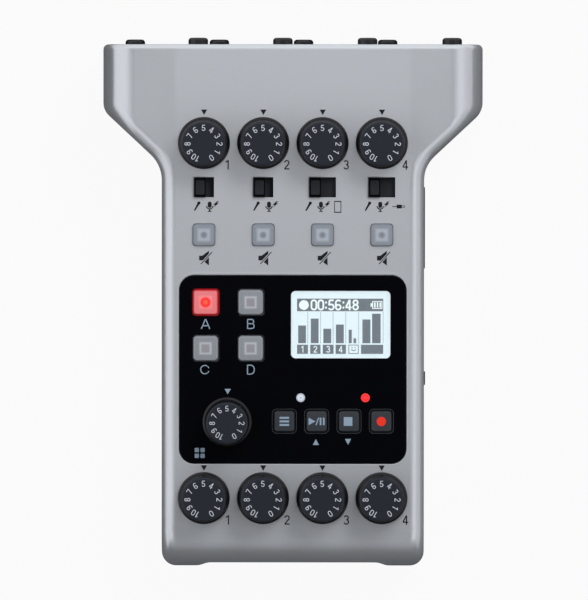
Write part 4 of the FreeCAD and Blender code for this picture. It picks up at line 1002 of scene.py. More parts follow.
def slab(across: float, along: float, low: float, high: float, corner: float, edge: float,
         steps: int = 6) -> bmesh.types.BMesh:
    """Rounded rectangular slab with a softened top edge.

    Args:
        across: Size along X.
        along: Size along Y.
        low: Height of its underside.
        high: Height of its top.
        corner: Radius of its upright corners.
        edge: Radius of its top edge, 0 for none.
        steps: Segments of each corner.

    Returns:
        The mesh.
    """
    bm = bmesh.new()
    bmesh.ops.create_cube(bm, size=1.0)
    bmesh.ops.scale(bm, vec=(across, along, high - low), verts=bm.verts)
    bmesh.ops.translate(bm, vec=(0.0, 0.0, (high + low) / 2), verts=bm.verts)
    upright = [e for e in bm.edges if abs(e.verts[0].co.z - e.verts[1].co.z) > SAME_HEIGHT]
    bmesh.ops.bevel(bm, geom=upright, offset=corner, segments=steps, profile=0.5, affect="EDGES", material=-1)
    if edge:
        rim = [e for e in bm.edges if all(abs(v.co.z - high) < SAME_HEIGHT for v in e.verts)]
        bmesh.ops.bevel(bm, geom=rim, offset=edge, segments=4, profile=0.5, affect="EDGES", material=-1)
    return bm


def frame_ring(across: float, along: float, corner: float, loops: Sequence[Point],
               steps: int = 6) -> bmesh.types.BMesh:
    """Band that runs once round a rounded rectangle and faces up.

    Args:
        across: Size of the rectangle along X.
        along: Its size along Y.
        corner: Radius of its corners.
        loops: For each loop of the band, how far out and how high it lies, no two alike in height.
        steps: Segments of each corner.

    Returns:
        The mesh.
    """
    bm = bmesh.new()
    last = None
    for out, high in loops:
        loop = rounded_loop(bm, across + 2 * out, along + 2 * out, max(corner + out, 0.05), high, steps)
        if last:
            bmesh.ops.bridge_loops(bm, edges=last + loop)
        last = loop
    bmesh.ops.recalc_face_normals(bm, faces=bm.faces)
    if sum(f.normal.z * f.calc_area() for f in bm.faces) < 0:
        bmesh.ops.reverse_faces(bm, faces=bm.faces)
    return bm


def rounded_loop(bm: bmesh.types.BMesh, across: float, along: float, corner: float, high: float,
                 steps: int) -> list[bmesh.types.BMEdge]:
    """Add a loop of edges in the shape of a rounded rectangle, and return its edges.

    Args:
        bm: Mesh that gets the loop.
        across: Size along X.
        along: Size along Y.
        corner: Radius of its corners.
        high: Its height.
        steps: Segments of each corner.

    Returns:
        The edges of the loop.
    """
    quad = bmesh.ops.create_grid(bm, x_segments=1, y_segments=1, size=0.5)["verts"]
    bmesh.ops.scale(bm, vec=(across, along, 1.0), verts=quad)
    bmesh.ops.translate(bm, vec=(0.0, 0.0, high), verts=quad)
    before = set(bm.faces) - set(quad[0].link_faces)
    bmesh.ops.bevel(bm, geom=quad, offset=corner, segments=steps, profile=0.5, affect="VERTICES", material=-1)
    face = next(f for f in bm.faces if f not in before and len(f.verts) > 4
                and abs(f.calc_center_median().z - high) < SAME_HEIGHT)
    edges = list(face.edges)
    bmesh.ops.delete(bm, geom=[face], context="FACES_ONLY")
    return edges


def turned(profile: Sequence[Point], steps: int) -> bmesh.types.BMesh:
    """Turn a profile of (radius, height) points about Z into a closed shape.

    Args:
        profile: The points, from the top of the axis to its foot.
        steps: Segments of a full turn.

    Returns:
        The mesh.
    """
    bm = bmesh.new()
    verts = [bm.verts.new((radius, 0.0, high)) for radius, high in profile]
    edges = [bm.edges.new(pair) for pair in zip(verts, verts[1:])]
    bmesh.ops.spin(bm, geom=verts + edges, cent=(0, 0, 0), axis=(0, 0, 1), angle=math.tau,
                   steps=steps, use_merge=True)
    bmesh.ops.remove_doubles(bm, verts=bm.verts, dist=1e-4)
    bmesh.ops.recalc_face_normals(bm, faces=bm.faces)
    return bm


def thicken(bm: bmesh.types.BMesh) -> bmesh.types.BMesh:
    """Raise a flat mesh to the thickness of the printing, and return it.

    Args:
        bm: The flat mesh.

    Returns:
        The same mesh.
    """
    grown = bmesh.ops.extrude_face_region(bm, geom=bm.faces[:])
    raised = [g for g in grown["geom"] if isinstance(g, bmesh.types.BMVert)]
    bmesh.ops.translate(bm, vec=(0.0, 0.0, INK_THICK), verts=raised)
    bmesh.ops.recalc_face_normals(bm, faces=bm.faces)
    return bm


def plate(points: Sequence[Point]) -> bmesh.types.BMesh:
    """Thin printed plate with a given outline.

    Args:
        points: The outline's corners, in order.

    Returns:
        The mesh.
    """
    bm = bmesh.new()
    face = bm.faces.new([bm.verts.new((x, y, 0.0)) for x, y in points])
    if face.normal.z < 0 or signed_area(points) < 0:
        face.normal_flip()
    return thicken(bm)


def signed_area(points: Sequence[Point]) -> float:
    """Area of an outline, negative if it runs clockwise."""
    return sum(a[0] * b[1] - b[0] * a[1] for a, b in zip(points, [*points[1:], points[0]])) / 2


def box_plate(left: float, low: float, right: float, high: float) -> bmesh.types.BMesh:
    """Thin printed rectangle."""
    return plate([(left, low), (right, low), (right, high), (left, high)])


def disc_plate(radius: float, steps: int = 28) -> bmesh.types.BMesh:
    """Thin printed disc.

    Args:
        radius: Its radius.
        steps: Segments of its edge.

    Returns:
        The mesh.
    """
    bm = bmesh.new()
    bmesh.ops.create_circle(bm, cap_ends=True, radius=radius, segments=steps)
    return thicken(bm)


def arc_band(radius: float, width: float, start: float, end: float, steps: int = 14) -> bmesh.types.BMesh:
    """Thin printed band along an arc, its angles in degrees.

    Args:
        radius: Radius of its middle line.
        width: Its width.
        start: Angle where it starts.
        end: Angle where it ends.
        steps: Segments from start to end.

    Returns:
        The mesh.
    """
    bm = bmesh.new()
    first = [bm.verts.new((radius + side * width / 2, 0.0, 0.0)) for side in (-1, 1)]
    edge = bm.edges.new(first)
    bmesh.ops.rotate(bm, cent=(0, 0, 0), matrix=Matrix.Rotation(math.radians(start), 3, "Z"), verts=bm.verts)
    bmesh.ops.spin(bm, geom=first + [edge], cent=(0, 0, 0), axis=(0, 0, 1),
                   angle=math.radians(end - start), steps=steps)
    return thicken(bm)


def tile(across: float, along: float, corner: float, steps: int = 2) -> bmesh.types.BMesh:
    """Thin printed rectangle with rounded corners, centred on the origin."""
    return slab(across, along, 0.0, INK_THICK, corner, 0.0, steps)


def bar(start: Point, end: Point, width: float) -> bmesh.types.BMesh:
    """Thin printed bar between two points.

    Args:
        start: Middle of one end.
        end: Middle of the other end.
        width: Its width.

    Returns:
        The mesh.
    """
    along = Vector((end[0] - start[0], end[1] - start[1])).normalized() * width / 2
    side = Vector((-along.y, along.x))
    a, b = Vector(start), Vector(end)
    return plate([tuple(p) for p in (a - side, b - side, b + side, a + side)])


@dataclass(frozen=True)
class Stroke:
    """One stroke of a figure: a bar from start to end, or an arc where it has a radius."""

    start: Point = (0.0, 0.0)
    end: Point = (0.0, 0.0)
    centre: Point = (0.0, 0.0)
    radius: float = 0.0
    first: float = 0.0
    last: float = 360.0

    def draw(self, width: float) -> bmesh.types.BMesh:
        """Mesh of the stroke, for a figure one unit tall.

        Args:
            width: Width of the stroke.

        Returns:
            The mesh.
        """
        if not self.radius:
            return bar(self.start, self.end, width)
        band = arc_band(self.radius, width, self.first, self.last, 18)
        bmesh.ops.transform(band, matrix=shift(*self.centre), verts=band.verts)
        return band


def line(x0: float, y0: float, x1: float, y1: float) -> Stroke:
    """Straight stroke."""
    return Stroke((x0, y0), (x1, y1))


def arc(x: float, y: float, radius: float, first: float = 0.0, last: float = 360.0) -> Stroke:
    """Curved stroke."""
    return Stroke(centre=(x, y), radius=radius, first=first, last=last)


STROKES: dict[str, tuple[Stroke, ...]] = {
    "0": (arc(0, 0.705, 0.23, 0, 180), arc(0, 0.295, 0.23, 180, 360), line(-0.23, 0.29, -0.23, 0.71),
          line(0.23, 0.29, 0.23, 0.71)),
    "1": (line(0.07, 0, 0.07, 1), line(-0.2, 0.76, 0.07, 0.94)),
    "2": (arc(0, 0.71, 0.225, -38, 175), line(0.18, 0.58, -0.22, 0.09), line(-0.26, 0.065, 0.27, 0.065)),
    "3": (arc(0, 0.735, 0.2, -90, 165), arc(0, 0.295, 0.23, -165, 90)),
    "4": (line(0.1, 0, 0.1, 1), line(0.08, 0.95, -0.25, 0.3), line(-0.29, 0.27, 0.28, 0.27)),
    "5": (line(-0.17, 0.935, 0.23, 0.935), line(-0.155, 0.96, -0.215, 0.46),
          arc(-0.01, 0.31, 0.245, -155, 142)),
    "6": (arc(0, 0.29, 0.225), line(-0.225, 0.29, -0.225, 0.68), arc(0, 0.71, 0.225, 30, 185)),
    "7": (line(-0.26, 0.935, 0.27, 0.935), line(0.235, 0.93, -0.07, 0)),
    "8": (arc(0, 0.735, 0.2), arc(0, 0.29, 0.225)),
    "9": (arc(0, 0.71, 0.225), line(0.225, 0.71, 0.225, 0.32), arc(0, 0.29, 0.225, 210, 365)),
    ":": (line(0, 0.16, 0, 0.34), line(0, 0.64, 0, 0.82)),
    "A": (line(-0.42, 0, -0.02, 0.98), line(0.42, 0, 0.02, 0.98), line(-0.29, 0.32, 0.29, 0.32)),
    "B": (line(-0.32, 0, -0.32, 1), line(-0.32, 0.95, 0.08, 0.95), line(-0.32, 0.525, 0.1, 0.525),
          line(-0.32, 0.05, 0.1, 0.05), arc(0.08, 0.7375, 0.2125, -90, 90),
          arc(0.1, 0.2875, 0.2375, -90, 90)),
    "C": (arc(0, 0.5, 0.42, 42, 318), arc(0, 0.5, 0.42, 20, 60), arc(0, 0.5, 0.42, 300, 340)),
    "D": (line(-0.34, 0, -0.34, 1), line(-0.34, 0.95, -0.06, 0.95), line(-0.34, 0.05, -0.06, 0.05),
          arc(-0.06, 0.56, 0.39, 0, 90), arc(-0.06, 0.44, 0.39, -90, 0), line(0.33, 0.43, 0.33, 0.57)),
}
FIGURE_STEP = 0.70


def figure(text: str, tall: float, weight: float = 0.13) -> bmesh.types.BMesh:
    """Printed digits or a letter in plain strokes, centred on the origin.

    Args:
        text: What it shows.
        tall: Height of its figures.
        weight: Width of its strokes as a share of the height.

    Returns:
        The mesh, as thick as all printing.
    """
    bm = bmesh.new()
    for i, sign in enumerate(text):
        middle = (i - (len(text) - 1) / 2) * FIGURE_STEP
        for stroke in STROKES[sign]:
            gather(bm, stroke.draw(weight), shift(middle, -0.5))
    bmesh.ops.scale(bm, vec=(tall, tall, 1.0), verts=bm.verts)
    return bm


def map_face(bm: bmesh.types.BMesh, upright: bool = False, squeeze: float = 1.0) -> None:
    """Give a control its own UV map in millimetres.

    Args:
        bm: The mesh, with its axis at the origin.
        upright: Map the distance from the axis and the height, in place of the place on its face.
        squeeze: What the length of a long face is multiplied by, to map it as a square.
    """
    layer = bm.loops.layers.uv.new("face")
    for face in bm.faces:
        for loop in face.loops:
            spot = loop.vert.co
            loop[layer].uv = (spot.xy.length, spot.z) if upright else (spot.x, spot.y * squeeze)


# --- Controls -----------------------------------------------------------------------------------


class KnobPlace(Enum):
    """The three kinds of knob by where they stand."""

    INPUT = "input_knob"
    PHONES = "phones_knob"
    PAD = "pad_knob"


@dataclass
class Knob:
    """A fluted knob with a skirt and a printed 0 to 10 scale."""

    name: str
    x: float
    along: float
    width: float = 15.4
    cap: float = 14.0
    height: float = 9.7
    lift: float = 0.4
    skirt: float = 1.9
    edge: float = 0.7
    shaft: float = 3.0
    shaft_low: float = -6.8
    flutes: int = 54
    flute_depth: float = 0.13
    digit: float = 1.82
    weight: float = 0.105
    ring: float = 4.72
    digit_step: float = 30.0

    def profile(self) -> list[Point]:
        """Outline of the knob from the middle of its top to its shaft, as (radius, height).

        Returns:
            The points, in millimetres.
        """
        side, outer = self.cap / 2, self.width / 2
        top = side - 0.3
        rounding = [
            (top - self.edge + self.edge * math.sin(a), self.height - self.edge + self.edge * math.cos(a))
            for a in (math.radians(d) for d in (0, 22.5, 45, 67.5, 90))
        ]
        return [
            (0.0, self.height),
            (top - self.edge - 0.6, self.height),
            *rounding,
            (side - 0.05, self.skirt + 1.2),
            (side, self.skirt + 0.1),
            (side + 0.05, self.skirt),
            (outer - 0.3, self.skirt - 0.13),
            (outer - 0.08, self.skirt - 0.36),
            (outer, self.skirt - 0.65),
            (outer, self.lift + 0.1),
            (outer - 0.1, self.lift),
            (self.shaft, self.lift),
            (self.shaft, self.shaft_low),
            (0.0, self.shaft_low),
        ]

    def flute(self, bm: bmesh.types.BMesh) -> None:
        """Draw every second column of the cap's side inwards, so that it is fluted.

        Args:
            bm: The turned knob.
        """
        low, high = self.skirt + 0.5, self.height - self.edge * 0.4
        for vert in bm.verts:
            radius = math.hypot(vert.co.x, vert.co.y)
            if low < vert.co.z < high and radius > self.cap / 2 - 1.2:
                wave = 0.5 - 0.5 * math.cos(self.flutes * math.atan2(vert.co.y, vert.co.x))
                pull = 1.0 - self.flute_depth * wave / radius
                vert.co.x *= pull
                vert.co.y *= pull

    def build(self) -> None:
        """Make the knob and its scale."""
        bm = turned(self.profile(), self.flutes * 4)
        self.flute(bm)
        map_face(bm, upright=True)
        piece = settle(f"{self.name}_cap", bm, TOP.place(self.x, self.along), FINISHES["knob_black"],
                       self.name, 28.0)
        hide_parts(self.name)
        scale = bmesh.new()
        for number in range(11):
            turn = self.digit_step * (number - 5)
            away = Vector((self.ring, 0.0)).to_3d()
            away.rotate(Matrix.Rotation(math.radians(90.0 + turn), 3, "Z"))
            gather(scale, figure(str(number), self.digit, self.weight), shift(away.x, away.y, 0.0, turn))
        settle(f"{self.name}_scale", scale, TOP.place(self.x, self.along, self.height),
               INKS["white_ink"], self.name)


@dataclass
class KnobRows:
    """The nine knobs with the marks that they are read against."""

    input_row: float = -29.15
    phones_row: float = -134.05
    pad_x: float = -19.35
    pad_row: float = -111.5
    mark_rows: tuple[float, float] = (-20.1, -125.2)
    mark_shift: float = 0.05
    mark_up: float = 0.04
    pad_mark_row: float = -102.6
    pad_mark_shift: float = 0.15
    mark_width: float = 1.85
    mark_tall: float = 1.6

    def build(self) -> None:
        """Make the knobs and their marks."""
        for i, x in enumerate(CHANNELS, start=1):
            Knob(f"{KnobPlace.INPUT.value}_{i}", x, self.input_row).build()
            Knob(f"{KnobPlace.PHONES.value}_{i}", x, self.phones_row).build()
        Knob(KnobPlace.PAD.value, self.pad_x, self.pad_row,
             width=14.6, cap=13.2, digit=1.72, ring=4.35).build()
        marks = bmesh.new()
        for x in CHANNELS:
            for along in self.mark_rows:
                gather(marks, self.mark(), shift(x + self.mark_shift, along))
        settle("knob_marks", marks, TOP.place(0.0, 0.0, self.mark_up), INKS["black_ink"], CASE)
        settle("pad_knob_mark", self.mark(),
               TOP.place(self.pad_x + self.pad_mark_shift, self.pad_mark_row, PANEL_PROUD),
               INKS["blue_grey_ink"], CASE)

    def mark(self) -> bmesh.types.BMesh:
        """Triangle that points to a knob's scale."""
        half, tall = self.mark_width / 2, self.mark_tall / 2
        return plate([(-half, tall), (0.0, -tall), (half, tall)])


@dataclass
class SlideSwitches:
    """Ribbed caps of the four slide switches."""

    row: float = -42.25
    width: float = 3.4
    depth: float = 5.6
    proud: float = 1.1
    over: float = 0.03
    ribs: int = 5
    rib_share: float = 0.52
    ribs_across: float = 2.6
    ribs_along: float = 4.4
    travels: tuple[float, ...] = (2.2, 2.2, 4.2, 4.2)

    def build(self) -> None:
        """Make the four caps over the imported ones."""
        for i, (x, travel) in enumerate(zip(CHANNELS, self.travels), start=1):
            bm = slab(self.width + 2 * self.over, self.depth + 2 * self.over, -0.6, self.proud + self.over,
                      0.25, 0.18, 3)
            pitch = self.ribs_across / self.ribs
            for step in range(self.ribs):
                rib = slab(pitch * self.rib_share, self.ribs_along, self.proud - 0.1, self.proud + 0.16,
                           0.12, 0.06, 2)
                gather(bm, rib, shift((step - (self.ribs - 1) / 2) * pitch, 0.0))
            map_face(bm, squeeze=self.width / self.depth)
            settle(f"input_switch_{i}_grip", bm, TOP.place(x - travel / 2, self.row),
                   FINISHES["dark_cap"], f"input_switch_{i}")


@dataclass
class Keys:
    """Mute keys, sound pads and transport keys."""

    mute_row: float = -56.3
    mute_side: float = 6.48
    mute_edge: float = 0.35
    opening: float = 7.1
    pad_side: float = 7.2
    pad_edge: float = 0.4
    pads: tuple[tuple[str, float, float], ...] = (
        ("a", -25.75, -76.2), ("b", -12.45, -76.2), ("c", -25.75, -89.8), ("d", -12.45, -89.8))
    transport_row: float = -111.35
    transport_skirt: float = 6.6
    transport_cap: float = 5.9
    transport: tuple[tuple[str, float], ...] = (
        ("menu", -2.475), ("play", 7.075), ("stop", 16.625), ("record", 26.175))
    transport_flange: float = 8.4
    high: float = 0.8
    corner: float = 1.15
    flange_top: float = -2.0
    flange_low: float = -2.8
    stem_low: float = -5.4
    stem_radius: float = 1.1

    def flange(self, side: float) -> bmesh.types.BMesh:
        """Flange that keeps a key under the top."""
        return slab(side, side, self.flange_low, self.flange_top, 0.3, 0.0, 2)

    def stem(self, top: float) -> bmesh.types.BMesh:
        """Stem down to the key switch."""
        radius = self.stem_radius
        return turned([(0.0, top), (radius, top), (radius, self.stem_low), (0.0, self.stem_low)], 24)

    def key(self, side: float, high: float, edge: float) -> bmesh.types.BMesh:
        """Key with its shoulder, flange and stem under the top, mapped from its middle.

        Args:
            side: Width of the key's top.
            high: Height of its top.
            edge: Rounding of its top edge.

        Returns:
            The mesh.
        """
        bm = slab(side, side, -0.4, high, self.corner, edge)
        gather(bm, slab(side + 0.24, side + 0.24, self.flange_top, -0.2, self.corner + 0.1, 0.05))
        gather(bm, self.flange(side + 1.8))
        gather(bm, self.stem(self.flange_low))
        map_face(bm)
        return bm

    def build(self) -> None:
        """Make the twelve keys and the signs on four of them."""
        for i, x in enumerate(CHANNELS, start=1):
            self.finish(f"mute_button_{i}", self.key(self.mute_side, self.high, self.mute_edge),
                        x, self.mute_row, "frosted_button")
        for letter, x, along in self.pads:
            bm = self.key(self.pad_side, PANEL_PROUD + self.high, self.pad_edge)
            self.finish(f"pad_button_{letter}", bm, x, along, "lit_pad" if letter == "a" else "grey_pad")
        signs = {"menu": self.menu_sign, "play": self.play_sign, "stop": self.stop_sign,
                 "record": self.record_sign}
        for name, x in self.transport:
            top = PANEL_PROUD + self.high
            bm = slab(self.transport_skirt, self.transport_skirt, self.flange_top, -1.4, self.corner, 0.15)
            gather(bm, slab(self.transport_cap, self.transport_cap, -1.5, top, 0.8, 0.3))
            gather(bm, self.stem(self.flange_top))
            gather(bm, self.flange(self.transport_flange))
            self.finish(f"{name}_button", bm, x, self.transport_row, "slate_button")
            # The record sign's red ink carries a painted glow.
            ink = INKS["red_ink_painted_glow" if name == "record" else "blue_grey_ink"]
            settle(f"{name}_sign", signs[name](), TOP.place(x, self.transport_row, top), ink,
                   f"{name}_button")

    def finish(self, node: str, bm: bmesh.types.BMesh, x: float, along: float, slot: str) -> None:
        """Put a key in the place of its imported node.

        Args:
            node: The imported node.
            bm: Mesh of the key.
            x: Place across the top.
            along: Place along the slope.
            slot: Material slot, which names its finish.
        """
        piece = settle(f"{node}_key", bm, TOP.place(x, along), FINISHES[slot], node)
        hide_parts(node)

    def menu_sign(self) -> bmesh.types.BMesh:
        """Three bars.

        Returns:
            Its mesh.
        """
        bm = bmesh.new()
        for middle in (-1.05, 0.0, 1.05):
            gather(bm, box_plate(-1.4, middle - 0.3, 1.4, middle + 0.3))
        return bm

    def play_sign(self) -> bmesh.types.BMesh:
        """Triangle, stroke and two bars.

        Returns:
            Its mesh.
        """
        bm = plate([(-2.4, -1.1), (-0.35, 0.0), (-2.4, 1.1)])
        gather(bm, plate([(-0.35, -1.1), (0.0, -1.1), (0.75, 1.1), (0.4, 1.1)]))
        gather(bm, box_plate(0.9, -1.1, 1.4, 1.1))
        gather(bm, box_plate(1.85, -1.1, 2.35, 1.1))
        return bm

    def stop_sign(self) -> bmesh.types.BMesh:
        """Square, a little left of the key's middle as printed."""
        return box_plate(-1.55, -1.3, 1.0, 1.3)

    def record_sign(self) -> bmesh.types.BMesh:
        """Disc."""
        return disc_plate(1.38)


# --- Panel, display and lights ------------------------------------------------------------------


@dataclass
class DisplayPicture:
    """What the lit display shows, drawn in millimetres from the middle of its window."""

    x: float = 14.15
    row: float = -82.8
    across: float = 29.3
    along: float = 19.85
    corner: float = 1.3
    under: float = -0.85
    film: float = 0.09
    dark_up: float = 0.095
    pale_up: float = 0.12
    bars: tuple[tuple[float, float, float], ...] = (
        (-12.56, -10.25, -0.28), (-8.83, -6.53, 1.76), (-5.14, -2.81, -1.23), (-1.42, 0.92, 0.01),
        (2.36, 3.28, -1.52), (3.78, 4.58, -4.06), (6.41, 8.77, 1.52), (9.25, 11.79, 3.23))
    bar_foot: float = -5.51
    dots: int = 18
    dot_step: float = 0.52
    digit: float = 3.15
    digit_half: float = 1.03
    colon_half: float = 0.5
    clock_left: float = -8.95
    dividers: tuple[float, ...] = (-9.72, -5.94, -2.25, 1.48, 5.29, 12.53)
    labels: tuple[tuple[float, float], ...] = (
        (-12.9, -9.65), (-9.0, -5.95), (-5.3, -2.1), (-1.5, 1.55), (6.0, 12.53))
    label_low: float = -8.65
    label_high: float = -5.95

    def layer(self, name: str, bm: bmesh.types.BMesh, up: float, ink: str) -> None:
        """Place one layer of the picture."""
        settle(name, bm, TOP.place(self.x, self.row, up), INKS[ink], CASE)

    def build(self) -> None:
        """Make the three layers of the picture."""
        film = slab(self.across, self.along, 0.0, self.film, self.corner, 0.0)
        self.layer("display_film", film, self.under, "display_pale")
        self.layer("display_dark_marks", self.dark_marks(), self.under + self.dark_up, "display_dark")
        self.layer("display_pale_marks", self.pale_marks(), self.under + self.pale_up, "display_white")

    def dark_marks(self) -> bmesh.types.BMesh:
        """Clock's field, level bars, labels, dotted lines between the bars and a small framed sign.

        Returns:
            Its mesh.
        """
        dark = box_plate(-12.9, 3.94, 12.55, 7.66)
        for left, right, high in self.bars:
            gather(dark, box_plate(left, self.bar_foot, right, high))
        for left, right in self.labels:
            gather(dark, box_plate(left, self.label_low, right, self.label_high))
        for x in self.dividers:
            for dot in range(self.dots):
                low = self.bar_foot + self.dot_step * dot
                gather(dark, box_plate(x - 0.1, low, x + 0.1, low + 0.28))
        gather(dark, frame_plate(2.3, self.label_low, 5.3, self.label_high, 0.22))
        gather(dark, arc_band(0.62, 0.24, 200.0, 340.0), shift(3.8, -7.1))
        for side in (-0.45, 0.45):
            gather(dark, box_plate(3.8 + side - 0.15, -6.95, 3.8 + side + 0.15, -6.65))
        return dark

    def pale_marks(self) -> bmesh.types.BMesh:
        """Recording dot, clock, channel digits and battery.

        Returns:
            Its mesh.
        """
        pale = bmesh.new()
        gather(pale, disc_plate(1.45), shift(-10.87, 5.77))
        left = self.clock_left
        for sign in "00:56:48":
            half = self.colon_half if sign == ":" else self.digit_half
            gather(pale, figure(sign, self.digit, 0.165), shift(left + half, 5.8))
            left += 2 * half
        for i, (left, right) in enumerate(self.labels[:len(CHANNELS)], start=1):
            gather(pale, figure(str(i), 1.95), shift((left + right) / 2, -7.3))
        gather(pale, frame_plate(9.3, 4.65, 12.3, 6.95, 0.25))
        gather(pale, box_plate(8.8, 5.3, 9.32, 6.3))
        for x in (9.85, 10.65, 11.45):
            gather(pale, box_plate(x, 5.05, x + 0.45, 6.55))
        return pale


def frame_plate(left: float, low: float, right: float, high: float, wide: float) -> bmesh.types.BMesh:
    """Thin printed frame of a rectangle, its sides as wide as said.

    Args:
        left: Outer left side.
        low: Outer lower side.
        right: Outer right side.
        high: Outer upper side.
        wide: Width of each of its four sides.

    Returns:
        The mesh.
    """
    bm = box_plate(left, low, right, low + wide)
    gather(bm, box_plate(left, high - wide, right, high))
    gather(bm, box_plate(left, low + wide, left + wide, high - wide))
    gather(bm, box_plate(right - wide, low + wide, right, high - wide))
    return bm


@dataclass
class PanelTrim:
    """Edges, grey rings painted as highlights round the transport keys, lamps and printing round the glossy
    panel.
    """

    across: float = 67.1
    along: float = 55.7
    row: float = -96.05
    corner: float = 4.45
    lens: float = 0.98
    lights: tuple[tuple[str, float, str], ...] = (
        ("power_light", 2.35, "clear_light"), ("record_light", 21.45, "red_light"))
    light_row: float = -104.4
    letter: float = 2.95
    letters: tuple[tuple[str, float, float], ...] = (
        ("A", -25.75, -82.6), ("B", -12.4, -82.6), ("C", -25.95, -96.1), ("D", -12.35, -96.1))
    arrow_up: Point = (6.85, -117.5)
    arrow_down: Point = (16.35, -117.4)
    squares: Point = (-27.45, -120.75)
    square: float = 1.28
    lip_loops: tuple[Point, ...] = ((-0.02, -0.05), (0.1, 0.03), (0.25, 0.04), (0.7, 0.008))
    # outline: size of the grey rings painted as highlights round the transport keys.
    outline: float = 7.0
    outline_loops: tuple[Point, ...] = ((0.0, -0.05), (0.05, 0.015), (0.11, 0.02), (0.16, -0.02))

    def build(self) -> None:
        """Make the trim."""
        lip = frame_ring(self.across + 0.3, self.along + 0.3, self.corner + 0.15, self.lip_loops, 10)
        settle("panel_recess_lip", lip, TOP.place(0.0, self.row), SILVER, CASE)
        # Painted highlight: a grey ring round each transport key in place of its chamfer's glint.
        rim_highlights = bmesh.new()
        for _, x in Keys.transport:
            ring = frame_ring(self.outline, self.outline, 1.2, self.outline_loops)
            gather(rim_highlights, ring, shift(x, Keys.transport_row))
        settle("key_rim_painted_highlights", rim_highlights, TOP.place(0.0, 0.0, PANEL_PROUD), INKS["painted_rim_highlight_grey"], CASE)
        for name, x, slot in self.lights:
            dome = [(0.0, 0.34), (0.5, 0.3), (0.85, 0.2), (self.lens - 0.05, 0.06), (self.lens, -0.1),
                    (self.lens, -0.4), (0.0, -0.4)]
            bm = turned(dome, 40)
            map_face(bm)
            settle(f"{name}_dome", bm, TOP.place(x, self.light_row, PANEL_PROUD), FINISHES[slot], CASE)
        self.printing()

    def printing(self) -> None:
        """Print the letters, arrows and the four squares on the panel."""
        bm = bmesh.new()
        for letter, x, along in self.letters:
            gather(bm, figure(letter, self.letter, 0.1), shift(x, along))
        gather(bm, plate([(-0.9, -0.85), (0.9, -0.85), (0.0, 0.85)]), shift(*self.arrow_up))
        gather(bm, plate([(-0.9, 0.85), (0.0, -0.85), (0.9, 0.85)]), shift(*self.arrow_down))
        x, along = self.squares
        for right in (-0.85, 0.85):
            for up in (-0.85, 0.85):
                gather(bm, tile(self.square, self.square, 0.2), shift(x + right, along + up))
        settle("panel_printing", bm, TOP.place(0.0, 0.0, PANEL_PROUD), INKS["blue_grey_ink"], CASE)


# --- Printing and lips on the silver top --------------------------------------------------------


